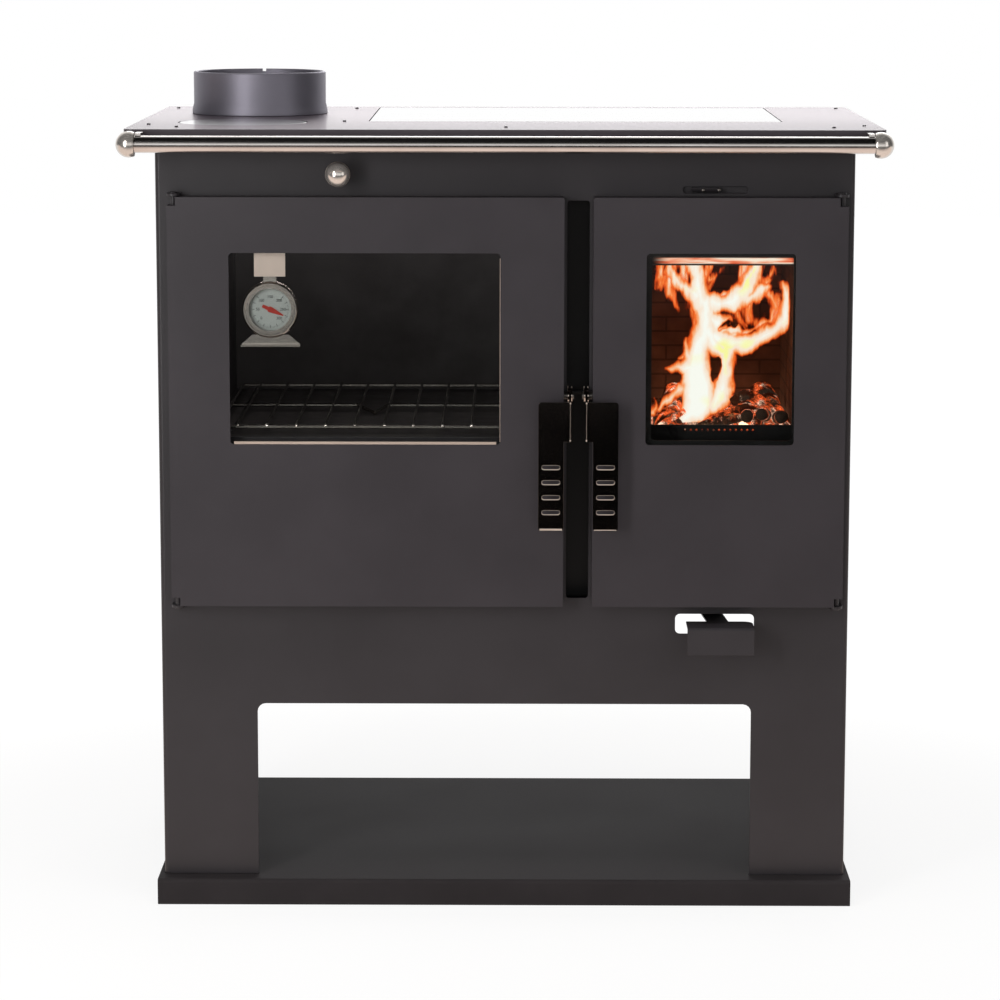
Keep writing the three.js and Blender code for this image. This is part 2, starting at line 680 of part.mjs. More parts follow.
// The frame that keeps the air slider flat against the back of the front panel.
function sliderGuide() {
  const { left, right, z } = airSlot;
  const x0 = left - 40;
  const x1 = right + 62;
  const y1 = innerFront + 4;
  const block = box(x0, x1, innerFront, y1, z - 12, z + 12);
  const track = box(x0 + 4, x1 - 4, innerFront - 1, innerFront + 1.5 + gap, z - 9 - gap, z + 9 + gap);
  const view = box(left - 4, right + 24, innerFront - 1, y1 + 1, z - 6, z + 6);
  return piece('slider_guide', cut(block, track, view), rawSteel);
}

// The primary air lever: a rotor under the ash floor, a cranked arm and the hanging grip plate.
function airLever() {
  const { x, y, angle, width, top, plate, rotor, joggle } = lever;
  const { back, front, bottom, bend, corner } = leverHead;
  const rotorTop = ashFloorZ - gap;
  const disc = barZ(rotor, rotorTop - plate, rotorTop, 0, 0, 24);
  const ports = airPorts(rotorTop - plate - 1, rotorTop + 1).map((g) => g.translate(-x, -y, 0));
  const bore = barZ(lever.bolt + gap, rotorTop - plate - 1, rotorTop + 1, 0, 0);
  const low = top - plate;
  const high = rotorTop - plate;
  const kink = joggle - y;
  const armSide = shapeOf([
    [-rotor + 6, high], [-rotor + 6, high + plate], [kink, high + plate], [kink - 20, top],
    [-y - back - 2, top], [-y - back - 2, low], [kink - 20, low], [kink, high],
  ]);
  const arm = plateYZ(armSide, -width / 2, width / 2);
  const swung = cut(fuse(arm, disc), bore, ...ports).rotateZ(THREE.MathUtils.degToRad(angle));
  const x0 = leverHead.x - leverHead.width / 2;
  const x1 = leverHead.x + leverHead.width / 2;
  const ledge = new THREE.Shape();
  ledge.moveTo(x0, -front + bend);
  ledge.lineTo(x1, -front + bend);
  ledge.lineTo(x1, -back - corner);
  ledge.absarc(x1 - corner, -back - corner, corner, 0, Math.PI / 2, false);
  ledge.lineTo(x0, -back);
  const gripSide = new THREE.Shape();
  gripSide.moveTo(-front + bend + 1, low);
  gripSide.lineTo(-front + bend + 1, top);
  gripSide.lineTo(-front + bend, top);
  gripSide.absarc(-front + bend, top - bend, bend, Math.PI / 2, Math.PI, false);
  gripSide.lineTo(-front, bottom);
  gripSide.lineTo(-front + plate, bottom);
  gripSide.lineTo(-front + plate, low);
  const head = fuse(plateXY(ledge, low, top, 3), plateYZ(gripSide, x0, x1)).translate(-x, -y, 0);
  return groupAt(x, y, 0, piece('air_lever', fuse(swung, head), paint));
}

// The stud that the rotor turns on, with its head below.
function leverBolt() {
  const under = lever.plate + 2 * gap;
  const profile = [[0, -9], [7, -9], [7, -under], [lever.bolt, -under], [lever.bolt, sheet], [0, sheet]];
  return groupAt(lever.x, lever.y, ashFloorZ, piece('lever_bolt', turned(profile, 16), rawSteel));
}

// ---------------------------------------------------------------- latch

function latchChannelMesh() {
  const x0 = latchSlot.left - 2;
  const x1 = latchSlot.right + 2;
  const t = thinSheet;
  const y1 = innerFront + latchChannel.depth;
  const z0 = doorBottom + latchSlot.end - 2;
  const z1 = doorBottom + doorHeight - latchSlot.end + 2;
  const outline = shapeOf([
    [x0 - t, innerFront], [x0, innerFront], [x0, y1 - t], [x1, y1 - t], [x1, innerFront],
    [x1 + t, innerFront], [x1 + t, y1], [x0 - t, y1],
  ]);
  const channel = plateXY(outline, z0, z1);
  const hole = barX(catchPin.radius + gap, x0 - t - 1, x1 + t + 1, catchPin.y, catchPin.z);
  return piece('latch_channel', cut(channel, hole), blackPaint);
}

function catchPinMesh() {
  const { radius, y, z } = catchPin;
  const x0 = latchSlot.left - 6;
  const x1 = latchSlot.right + 6;
  return piece('catch_pin', barX(radius, x0, x1, y, z), rawSteel);
}

// ---------------------------------------------------------------- doors

// A door lies in its own frame: x from its left edge, y from its front face to the rear, z from its
// lower edge. `hinge` is the x of the hinge axis there and `away` points from the hinge to the latch.
function doorFrame(door) {
  const away = door.hingeLeft ? 1 : -1;
  const hingeEdge = door.hingeLeft ? 0 : door.width;
  return { away, hingeEdge, hingeX: hingeEdge + away * hingePin.inset };
}

function doorWindow(door, win) {
  return [win.left - door.left, win.right - door.left, windowZ.bottom - doorBottom, windowZ.top - doorBottom];
}

const pinHole = hingePin.radius + gap;
const axisY = doorProud - hingeOffset;

function doorPan(name, door, win) {
  const { width } = door;
  const { away, hingeEdge, hingeX } = doorFrame(door);
  const [wx0, wx1, wz0, wz1] = doorWindow(door, win);
  const shell = plateXZ(roundRect(0, width, 0, doorHeight, 2), 0, panDepth, 2);
  const hollow = box(sheet, width - sheet, sheet, panDepth + 1, sheet, doorHeight - sheet);
  const view = plateXZ(roundRect(wx0, wx1, wz0, wz1, windowZ.corner), -1, sheet + 1);
  const notchFar = hingeEdge + away * hingePin.notch;
  const nx0 = Math.min(hingeEdge - away, notchFar);
  const nx1 = Math.max(hingeEdge - away, notchFar);
  const notches = [
    box(nx0, nx1, -1, panDepth + 1, doorHeight - hingePin.notch, doorHeight + 1),
    box(nx0, nx1, -1, panDepth + 1, -1, hingePin.notch),
  ];
  const tx0 = Math.min(hingeEdge, hingeEdge + away * 13);
  const tx1 = Math.max(hingeEdge, hingeEdge + away * 13);
  const tabs = [
    box(tx0, tx1, 1, axisY + 6, doorHeight - hingePin.notch - sheet, doorHeight - hingePin.notch),
    box(tx0, tx1, 1, axisY + 6, hingePin.notch, hingePin.notch + sheet),
  ];
  const latchEdge = door.hingeLeft ? width : 0;
  const pivotHole = barX(3.3, latchEdge - 8, latchEdge + 8, axisY, handlePivotZ - doorBottom);
  const opened = cut(shell, hollow, view, ...notches);
  return piece(name, cut(fuse(opened, ...tabs), barZ(pinHole, -1, doorHeight + 1, hingeX, axisY),
    pivotHole), paint);
}

function doorGlass(name, door, win) {
  const [wx0, wx1, wz0, wz1] = doorWindow(door, win);
  const o = glass.overlap;
  const shape = roundRect(wx0 - o, wx1 + o, wz0 - o, wz1 + o, 3);
  return piece(name, plateXZ(shape, sheet + gap, sheet + gap + glass.thickness, 2), clearGlass);
}

const linerY = sheet + gap + glass.thickness + gap;
const linerFlangeY = doorProud - gasket.depth - 2 * gap - thinSheet;

const rimX = sheet + gap; // liner and gasket stay clear of the rim, and of the hinge tabs in height
const rimZ = hingePin.notch + sheet + gap;

// The liner holds the glass from behind and turns back to a rim that carries the gasket.
function doorLiner(name, door, hole) {
  const wide = gasket.width + 4.7;
  const x1 = door.width - rimX;
  const z1 = doorHeight - rimZ;
  const face = roundRect(rimX + wide, x1 - wide, rimZ + wide, z1 - wide);
  face.holes.push(rectHole(hole[0], hole[1], hole[2], hole[3], windowZ.corner));
  const pane = plateXZ(face, linerY, linerY + thinSheet, 2);
  const wall = plateXZ(frameShape(rimX + wide, x1 - wide, rimZ + wide, z1 - wide, thinSheet),
    linerY, linerFlangeY + thinSheet);
  const rim = plateXZ(frameShape(rimX, x1, rimZ, z1, wide + thinSheet), linerFlangeY,
    linerFlangeY + thinSheet);
  return piece(name, fuse(pane, wall, rim), darkPaint);
}

function doorGasket(name, door) {
  const shape = frameShape(rimX + gap, door.width - rimX - gap, rimZ + gap, doorHeight - rimZ - gap,
    gasket.width, 3);
  const y0 = linerFlangeY + thinSheet + gap;
  return piece(name, plateXZ(shape, y0, doorProud - gap, 2), rope);
}

// The pivot pin of a handle: it sits in the door's edge and carries the handle's ear.
function handlePin(name, door) {
  const { away } = doorFrame(door);
  const latchEdge = door.hingeLeft ? door.width : 0;
  const shaft = flange.bore - gap;
  const earNear = flange.inset - (flange.bush - flange.thickness) / 2;
  const earFar = earNear + flange.bush;
  const profile = [
    [0, -sheet], [shaft, -sheet], [shaft, gap], [4.6, gap], [4.6, earNear - gap], [shaft, earNear - gap],
    [shaft, earFar + gap], [4.4, earFar + gap], [4.4, earFar + 1.8], [0, earFar + 1.8],
  ];
  const pin = turned(profile, 16).rotateY((away * Math.PI) / 2);
  pin.translate(latchEdge, axisY, handlePivotZ - doorBottom);
  return piece(name, pin, rawSteel);
}

// A bent sheet handle: slotted grip plate, side flange with its eye on the pivot pin, and the hook
// that stands up behind the catch pin. Its frame is the pivot; `away` points from the door outwards.
function doorHandle(name, door) {
  const { away } = doorFrame(door);
  const latchEdge = door.left + (door.hingeLeft ? door.width : 0);
  const near = flange.inset;
  const far = near + flange.thickness;
  const plateFront = -(handle.ahead - hingeOffset);
  const plateBack = plateFront + handle.plate;
  const z = (world) => world - handlePivotZ;
  const gripOuter = -handle.width;
  const span = (a, b) => [Math.min(away * a, away * b), Math.max(away * a, away * b)];
  const [gx0, gx1] = span(gripOuter, -0.3);
  const [ux0, ux1] = span(gripOuter, far);
  const grip = roundRect(gx0, gx1, z(handle.bottom), z(handle.wingBottom) + 8, 3);
  const lower = plateXZ(grip, plateFront, plateBack);
  const wing = roundRect(ux0, ux1, z(handle.wingBottom), z(handle.top), 3);
  const upper = plateXZ(wing, plateFront, plateBack);
  const lipSection = new THREE.Shape();
  const zb = z(handle.bottom);
  lipSection.moveTo(plateFront, zb + 6);
  lipSection.lineTo(plateFront, zb + 3);
  lipSection.absarc(plateFront + 3, zb + 3, 3, Math.PI, Math.PI * 1.5, false);
  lipSection.lineTo(plateFront + handle.lip, zb);
  lipSection.lineTo(plateFront + handle.lip, zb + handle.plate);
  lipSection.lineTo(plateBack, zb + handle.plate);
  lipSection.lineTo(plateBack, zb + 6);
  const lip = plateYZ(lipSection, gx0 + 1, gx1 - 1);
  const hookY = catchPin.y + hingeOffset;
  const hookZ = catchPin.z - handlePivotZ;
  const clear = catchPin.radius + 0.6;
  const side = shapeOf([
    [plateFront, z(handle.wingBottom) + 2], [plateFront + 8, z(handle.wingBottom)], [-4, -12],
    [hookY, hookZ - clear - 7], [hookY + clear + 4, hookZ - clear - 3],
    [hookY + clear + 4, hookZ - clear], [hookY - clear - 2, hookZ - clear],
    [5, 5], [-6, 5], [plateFront + 6, z(handle.top)], [plateFront, z(handle.top) - 3],
  ]);
  const [sx0, sx1] = span(near, far);
  const cheek = plateYZ(side, sx0, sx1);
  const bushFrom = near - (flange.bush - flange.thickness) / 2;
  const [bx0, bx1] = span(bushFrom, bushFrom + flange.bush);
  const eye = barX(flange.ear, bx0, bx1, 0, 0, 20);
  const bore = barX(flange.bore, bx0 - 1, bx1 + 1, 0, 0, 12);
  const tools = [bore];
  const slotMiddle = away * (-handle.width / 2);
  for (let i = 0; i < slots.count; i++) {
    const zs = z(slots.top - i * slots.pitch);
    const shape = roundRect(slotMiddle - slots.length / 2, slotMiddle + slots.length / 2,
      zs - slots.height / 2, zs + slots.height / 2, slots.height / 2 - 0.05);
    tools.push(plateXZ(shape, plateFront - 1, plateBack + 1, 2));
  }
  const geometry = cut(fuse(lower, upper, lip, cheek, eye), ...tools);
  return groupAt(latchEdge, -hingeOffset, handlePivotZ, piece(name, geometry, smokedChrome));
}

// A weld-on hinge: an ear on the front panel with the pin that stands in the door's corner tab.
// `side` is +1 above the door and -1 below it.
function hinge(name, spec, side) {
  const x = spec.left + doorFrame(spec).hingeX;
  const { radius, notch, ear, reach } = hingePin;
  const outline = new THREE.Shape();
  outline.moveTo(x - reach, -gap);
  outline.lineTo(x - reach, -hingeOffset);
  outline.absarc(x, -hingeOffset, reach, Math.PI, Math.PI * 2, false);
  outline.lineTo(x + reach, -gap);
  const plate = plateXY(outline, side > 0 ? gap : -gap - ear, side > 0 ? gap + ear : -gap, 5);
  const length = notch + sheet;
  const profile = [
    [0, -length], [radius, -length], [radius, ear], [radius + 1.6, ear], [radius + 1, ear + 1.8],
    [0, ear + 2.2],
  ];
  const pin = turned(profile, 16).rotateX(side > 0 ? 0 : Math.PI).translate(x, -hingeOffset, 0);
  const z = side > 0 ? doorBottom + doorHeight : doorBottom;
  return groupAt(0, 0, z, piece(name, fuse(plate, pin), paint));
}

// ---------------------------------------------------------------- oven thermometer

// It stands just behind the oven window, hung from a strip on the door's liner.
const strapY = -doorProud + linerY + thinSheet + gap + hanger.thickness; // back of the strip

function thermometer() {
  const { caseRadius, bezel, face, front, depth } = dial;
  const cup = turned([
    [0, 0], [caseRadius - 3, 0], [caseRadius, 3], [caseRadius, 6], [bezel, depth - 3],
    [bezel - 1.5, depth], [face + 0.4, depth], [face + 0.4, 6], [0, 6],
  ], 24).rotateX(Math.PI / 2);
  const footZ = -caseRadius - 7;
  const footTop = -caseRadius + 3;
  const foot = plateXZ(shapeOf([[-31, footZ], [31, footZ], [19, footTop], [-19, footTop]]), -4, 0);
  const sole = box(-31, 31, -depth + 2, 6, footZ - 2, footZ);
  const earBack = front - depth + strapY;
  const ear = plateXZ(roundRect(-7, 7, caseRadius - 6, hanger.bottom - dial.z + 3, 2), earBack + gap,
    earBack + gap + 1.2, 2);
  const body = fuse(cup, foot, sole, ear);
  const plate = barY(face, -7.2, -6.3, 0, 0, 32);
  const lens = barY(face, -depth + 0.6, -depth + 2.2, 0, 0, 32);
  const pointer = shapeOf([
    [-9, -1.6], [-2.5, -1.8], [-1.2, -3], [1.2, -3], [15, -0.5], [15, 0.5], [1.2, 3], [-1.2, 3],
    [-2.5, 1.8], [-9, 1.6],
  ]);
  const tilt = THREE.MathUtils.degToRad(-25);
  const needle = plateXZ(pointer, -8.6, -7.6).rotateY(-tilt);
  return groupAt(dial.x, -front + depth, dial.z,
    piece('thermometer_case', body, chromed),
    piece('thermometer_dial', plate, dialFace),
    piece('thermometer_lens', lens, clearGlass),
    piece('thermometer_needle', needle, redPaint));
}

function thermometerHanger() {
  const strip = box(dial.x - hanger.width / 2, dial.x + hanger.width / 2, strapY - hanger.thickness,
    strapY, hanger.bottom, hanger.top);
  return piece('thermometer_hanger', strip, chromed);
}

// ---------------------------------------------------------------- assembly

function door(prefix, spec, win, hole) {
  const place = (x) => x - spec.left;
  const local = [place(hole[0]), place(hole[1]), hole[2] - doorBottom, hole[3] - doorBottom];
  return groupAt(spec.left, -doorProud, doorBottom,
    doorPan(`${prefix}_door_pan`, spec, win),
    doorGlass(`${prefix}_door_glass`, spec, win),
    doorLiner(`${prefix}_door_liner`, spec, local),
    doorGasket(`${prefix}_door_gasket`, spec),
    handlePin(`${prefix}_handle_pin`, spec));
}

const ovenLinerHole = [ovenWindow.left - 1, ovenWindow.right + 1, windowZ.bottom - 1, windowZ.top + 1];
const fireLinerHole = [fireWindow.left + 6, fireWindow.right - 2, windowZ.bottom + 4, windowZ.top - 3];

const stoveFront = rail.ahead + rail.ball;
const stoveBack = bodyDepth + topPlate.back;

const stove = groupAt(0, (stoveFront - stoveBack) / 2, 0,
  baseTray(),
  frontPanel(),
  sidePanel('side_panel_left', -1),
  sidePanel('side_panel_right', 1),
  backPanel(),
  ashFloor(),
  topPlateMesh(),
  hobPanel(),
  hobFrame(),
  flueCollar(),
  lidSeat(),
  roundLid(),
  railTube(),
  railCap('rail_cap_left', -1),
  railCap('rail_cap_right', 1),
  railBracket('rail_bracket_left', -1),
  railBracket('rail_bracket_right', 1),
  ovenBox(),
  ovenRack(),
  dividerWall(),
  grateShelf(),
  fireGrate(),
  ...fireBricks(),
  logGuard(),
  ashPanMesh(),
  smokeShelfMesh(),
  ...damperParts(),
  airSlider(),
  sliderGuide(),
  airLever(),
  leverBolt(),
  latchChannelMesh(),
  catchPinMesh(),
  hinge('oven_hinge_top', ovenDoor, 1),
  hinge('oven_hinge_bottom', ovenDoor, -1),
  hinge('fire_hinge_top', fireDoor, 1),
  hinge('fire_hinge_bottom', fireDoor, -1),
  door('oven', ovenDoor, ovenWindow, ovenLinerHole),
  door('fire', fireDoor, fireWindow, fireLinerHole),
  doorHandle('oven_handle', ovenDoor),
  doorHandle('fire_handle', fireDoor),
  thermometer(),
  thermometerHanger());

export default stove;
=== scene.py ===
# %% [markdown]
# # A wood-fired cookstove
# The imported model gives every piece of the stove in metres, with -Y towards the cook. This script
# gives those pieces their finishes, adds the small things that a sheet-metal model leaves out
# (screws, the print on the dial, logs, embers and flames), and sets a plain studio round them.

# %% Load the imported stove
import json
import math

import bmesh
import bpy
from mathutils import Matrix, Vector, noise

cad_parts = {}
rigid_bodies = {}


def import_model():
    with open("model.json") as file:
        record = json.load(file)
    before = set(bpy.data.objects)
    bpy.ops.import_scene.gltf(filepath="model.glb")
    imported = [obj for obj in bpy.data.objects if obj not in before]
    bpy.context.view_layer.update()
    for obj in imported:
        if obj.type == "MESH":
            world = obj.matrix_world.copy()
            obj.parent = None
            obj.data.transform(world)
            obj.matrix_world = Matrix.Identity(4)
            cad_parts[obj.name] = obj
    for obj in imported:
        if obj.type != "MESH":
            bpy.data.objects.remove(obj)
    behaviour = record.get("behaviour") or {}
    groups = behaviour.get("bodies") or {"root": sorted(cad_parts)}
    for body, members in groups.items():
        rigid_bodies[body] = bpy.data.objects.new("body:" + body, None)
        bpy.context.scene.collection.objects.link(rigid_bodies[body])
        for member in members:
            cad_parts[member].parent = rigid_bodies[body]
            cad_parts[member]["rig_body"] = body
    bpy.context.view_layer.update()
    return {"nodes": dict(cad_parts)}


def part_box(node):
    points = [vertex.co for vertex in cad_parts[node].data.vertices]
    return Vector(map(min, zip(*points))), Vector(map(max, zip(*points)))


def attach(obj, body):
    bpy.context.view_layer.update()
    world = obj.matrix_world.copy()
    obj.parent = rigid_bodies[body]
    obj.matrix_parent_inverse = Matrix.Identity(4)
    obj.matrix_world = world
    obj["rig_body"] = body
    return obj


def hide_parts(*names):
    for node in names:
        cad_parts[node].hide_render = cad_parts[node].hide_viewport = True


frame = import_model()
scene = bpy.context.scene

# %% [markdown]
# The camera stands where the photographer's did: a little to the right of the middle, above the
# top, looking down by nine degrees through a long lens. Turn and lean are the small leftovers of
# a hand-set tripod. A look-at constraint would hide these angles, so the axes are written out.

# %% The camera
def placed(name, data):
    """A new object in the scene that holds a camera, a lamp, a text or a mesh."""
    holder = bpy.data.objects.new(name, data)
    scene.collection.objects.link(holder)
    return holder


tilt, turn, lean = (math.radians(a) for a in (9.217, 0.354, -0.07))
look = Vector((-math.sin(turn) * math.cos(tilt), math.cos(turn) * math.cos(tilt), -math.sin(tilt)))
level = Vector((math.cos(turn), math.sin(turn), 0))
steep = level.cross(look)
across_view = level * math.cos(lean) - steep * math.sin(lean)
up_view = level * math.sin(lean) + steep * math.cos(lean)
axes = Matrix((across_view, up_view, -look)).transposed().to_4x4()
stand = (0.0179, -3.8382, 1.0311)
film_width, focal_length = 36, 126
camera = placed("camera", bpy.data.cameras.new("camera"))
camera.matrix_world = Matrix.Translation(stand) @ axes
camera.data.sensor_width = film_width
camera.data.lens = focal_length
scene.camera = camera
scene.view_settings.view_transform = "Standard"
print("camera at", tuple(round(c, 3) for c in camera.location))

# %% [markdown]
# A finish in Blender is a node tree. Wiring one by hand in Python is long, so a `Wire` stands for
# one output socket and understands + - *, and a `Finish` adds any node in one call. The settings
# of a node come first, because they decide which sockets it has.

# %% Writing node trees as sums
def display(red, green, blue):
    """A colour as it looks on a screen, 0 to 255, in the linear values that shaders use."""
    linear = [((c / 255 + 0.055) / 1.055) ** 2.4 if c > 10 else c / 255 / 12.92 for c in (red, green, blue)]
    return (*linear, 1.0)


class Wire:
    """One output of a node. Sums on it add Math nodes to the same tree."""

    def __init__(self, finish, socket):
        self.finish = finish
        self.socket = socket

    def maths(self, operation, *terms):
        return self.finish.node("ShaderNodeMath", {"operation": operation}, *terms)

    def __add__(self, other):
        return self.maths("ADD", self, other)

    def __sub__(self, other):
        return self.maths("SUBTRACT", self, other)

    def __rsub__(self, other):
        return self.maths("SUBTRACT", other, self)

    def __mul__(self, other):
        return self.maths("MULTIPLY", self, other)

    __radd__ = __add__
    __rmul__ = __mul__

    def most(self, other):
        return self.maths("MAXIMUM", self, other)

    def held(self):
        """The same number, kept between 0 and 1."""
        return self.finish.node("ShaderNodeClamp", {}, self)


class Tree:
    """A node tree that is written in Python: node() adds a node and returns its output."""

    def __init__(self, tree):
        self.tree = tree

    def plug(self, socket, value):
        if isinstance(value, Wire):
            self.tree.links.new(value.socket, socket)
        else:
            socket.default_value = value

    def node(self, kind, settings, *values, output=0, **named):
        made = self.tree.nodes.new(kind)
        for key, value in settings.items():
            if key == "stops":
                ramp = made.color_ramp
                while len(ramp.elements) < len(value):
                    ramp.elements.new(0.5)
                for stop, (at, colour) in zip(ramp.elements, value):
                    stop.position = at
                    stop.color = colour
            else:
                setattr(made, key, value)
        sockets = [s for s in made.inputs if s.enabled]
        for socket, value in zip(sockets, values):
            if value is not None:
                self.plug(socket, value)
        for name, value in named.items():
            self.plug(next(s for s in sockets if s.name == name.replace("_", " ")), value)
        outputs = [s for s in made.outputs if s.enabled]
        wanted = outputs[output] if isinstance(output, int) else made.outputs[output]
        return Wire(self, wanted)

    def place(self):
        return self.node("ShaderNodeTexCoord", {}, output="Object")

    def split(self, vector, axis):
        """One number of a vector, named by its axis."""
        return self.node("ShaderNodeSeparateXYZ", {}, vector, output="XYZ".index(axis))

    def vector(self, x=0.0, y=0.0, z=0.0):
        return self.node("ShaderNodeCombineXYZ", {}, x, y, z)

    def along(self, axis):
        return self.split(self.place(), axis)

    def ray(self, kind):
        """1 for the rays of one kind, such as "Camera" or "Glossy", and 0 for the others."""
        return self.node("ShaderNodeLightPath", {}, output=f"Is {kind} Ray")

    def stretched(self, x, y, z):
        return self.node("ShaderNodeMapping", {}, self.place(), Scale=(x, y, z))

    def cloud(self, scale, detail=3, rough=0.5, where=None):
        where = where or self.place()
        return self.node("ShaderNodeTexNoise", {}, where, Scale=scale, Detail=detail, Roughness=rough)

    def mix(self, share, first, second):
        return self.node("ShaderNodeMix", {"data_type": "RGBA"}, share, first, second)

    def between(self, value, low, high, to_low=0.0, to_high=1.0):
        settings = {"interpolation_type": "SMOOTHSTEP"}
        return self.node("ShaderNodeMapRange", settings, value, low, high, to_low, to_high)

    def colours(self, value, *stops):
        return self.node("ShaderNodeValToRGB", {"stops": stops}, value)


class Finish(Tree):
    """A material with one Principled shader. Words such as Coat_Weight=0.3 set its sockets."""

    def __init__(self, name, **sockets):
        self.material = bpy.data.materials.new(name)
        self.material.use_nodes = True
        super().__init__(self.material.node_tree)
        self.shader = self.tree.nodes["Principled BSDF"]
        self.wear(**sockets)

    def wear(self, **sockets):
        for name, value in sockets.items():
            self.plug(self.shader.inputs[name.replace("_", " ")], value)
        return self

    def relief(self, height, depth):
        """Small bumps, `depth` metres high where height is 1."""
        bump = self.node("ShaderNodeBump", {}, Height=height, Distance=depth, Strength=1.0)
        return self.wear(Normal=bump)

    def specks(self, scale, first, second):
        """Fine clouds of two tones as the colour."""
        return self.wear(Base_Color=self.mix(self.cloud(scale), first, second))

    def own(self):
        """The Principled shader itself, to be mixed with another one."""
        return Wire(self, self.shader.outputs[0])

    def surface(self, shader):
        """Shows another shader than the plain one."""
        self.plug(self.tree.nodes["Material Output"].inputs["Surface"], shader)


print("helpers ready")

# %% [markdown]
# ## The studio
# Dark paint and bright plate are mostly seen by what they mirror, so the room matters more than
# the lamps. The camera sees plain white. A mirror sees white behind the stove and nearly black
# beside and in front of it, with one light band low in front, and this is why the door handles
# look black in the middle. A room of real walls could do the same, but a background that asks
# each ray what kind it is takes no walls and renders faster.

# %% The room round the stove
world = bpy.data.worlds.new("studio")
scene.world = world
world.use_nodes = True
room = Tree(world.node_tree)
towards = room.node("ShaderNodeTexCoord", {}, output="Generated")
depthwise = room.split(towards, "Y")
height = room.split(towards, "Z")
light_band = room.between(height, -0.14, -0.05) * room.between(height, 0.5, 0.0)
light_band = light_band * room.between(depthwise, -0.6, -0.9)
mirrored = room.between(depthwise, 0.2, 0.85, 0.002, 1.06) + 0.95 * light_band
seen = room.ray("Camera").most(room.ray("Transmission"))
glossy = room.ray("Glossy")
soft_light = 0.32
glow = soft_light * (1 - seen) * (1 - glossy) + seen + mirrored * glossy
background = world.node_tree.nodes["Background"]
background.inputs["Color"].default_value = (1, 1, 1, 1)
room.plug(background.inputs["Strength"], glow)
print("room mirrors white behind the stove and black in front")

# %% [markdown]
# The floor is one large square, a hair below the base tray so that the two never share a plane.
# To the eye it is nearly white with a faint shadow near the stove, and pure white further out. To
# a mirror it is warm near the stove, white behind it and nearly black towards the cook, with a dim
# far end. A shadow catcher would also do for the eye, but can't give the metal its warm floor.

# %% The floor
# metres
half = 9.0
corners = [(-half, -half, 0), (half, -half, 0), (half, half, 0), (-half, half, 0)]
floor_mesh = bpy.data.meshes.new("floor")
floor_mesh.from_pydata(corners, [], [(0, 1, 2, 3)])
floor_drop = 0.0004
floor = placed("floor", floor_mesh)
floor.location.z = -floor_drop
ground = Finish("floor_white", Roughness=0.9, Specular_IOR_Level=0.0, Base_Color=display(238, 236, 234))
near = ground.between(ground.along("Y"), -2.3, -0.55)
in_metal = ground.mix(near, (0.001, 0.001, 0.001, 1), (1.0, 0.83, 0.74, 1))
in_metal = ground.mix(ground.between(ground.along("Y"), -0.1, 0.8), in_metal, (1, 1, 1, 1))
in_metal = ground.mix(ground.between(ground.along("Y"), -5.2, -8.5), in_metal, (0.3, 0.27, 0.27, 1))
plain = ground.node("ShaderNodeEmission", {}, (1, 1, 1, 1), 1.06)
warm = ground.node("ShaderNodeEmission", {}, in_metal, 0.95)
away = ground.node("ShaderNodeVectorMath", {"operation": "LENGTH"}, ground.place(), output="Value")
shown = 0.8 + 0.2 * ground.between(away, 0.6, 1.3)
direct = ground.ray("Camera").most(ground.ray("Transmission")) * shown
lit = ground.node("ShaderNodeMixShader", {}, direct, ground.own(), plain)
ground.surface(ground.node("ShaderNodeMixShader", {}, ground.ray("Glossy"), lit, warm))
floor_mesh.materials.append(ground.material)
print("floor", half * 2, "m across")

# %% [markdown]
# Four soft lamps give the painted sheet its shading: one on each side of the cook, one above and
# one behind. They are area lamps, because a small lamp would draw hard shadows that a studio
# never has. The one above is hidden from mirrors, or it would show as a white square in the top.

# %% The lamps
def softbox(name, place, aim, size, watts, colour=(1, 1, 1)):
    lamp = bpy.data.lights.new(name, "AREA")
    lamp.shape = "RECTANGLE"
    lamp.size, lamp.size_y = size
    lamp.energy = watts
    lamp.color = colour
    holder = placed(name, lamp)
    holder.location = place
    holder.rotation_mode = "QUATERNION"
    holder.rotation_quaternion = (Vector(aim) - Vector(place)).to_track_quat("-Z", "Y")
    holder.visible_camera = False


# where it hangs, where it points, width and height, watts
lamps = {
    "lamp_left": ((-1.25, -2.0, 1.0), (-0.5, -0.2, 0.5), (0.5, 1.7), 20),
    "lamp_right": ((2.7, -2.3, 1.5), (0.1, -0.2, 0.5), (1.2, 2.0), 9),
    "lamp_above": ((0.0, -0.6, 3.1), (0.0, 0.0, 0.6), (2.6, 1.6), 42),
    "lamp_back": ((0.3, 3.0, 1.9), (0.0, 0.2, 0.5), (2.4, 1.6), 30),
}
for name, (place, aim, size, watts) in lamps.items():
    softbox(name, place, aim, size, watts)
scene.objects["lamp_above"].visible_glossy = False

# %% [markdown]
# ## Painted steel
# The hull is sheet steel under a satin heat-proof paint: charcoal with a trace of plum. Up close
# such paint is a fine orange peel, and over a hand's width it is slightly uneven. Two noises do
# this, one for the relief and one for tone and gloss.

# %% Stove paint
def stove_paint(name, tone, roughness, peel=0.00004):
    paint = Finish(name, Specular_IOR_Level=0.42)
    patches = paint.cloud(7, detail=4, rough=0.6)
    darker = tuple(c * 0.82 for c in tone[:3]) + (1.0,)
    paint.wear(Base_Color=paint.mix(paint.between(patches, 0.3, 0.7), darker, tone))
    fine = paint.cloud(420, detail=2)
    paint.wear(Roughness=roughness + (patches - 0.5) * 0.12 + (fine - 0.5) * 0.1)
    return paint.relief(paint.cloud(900, detail=2), peel)


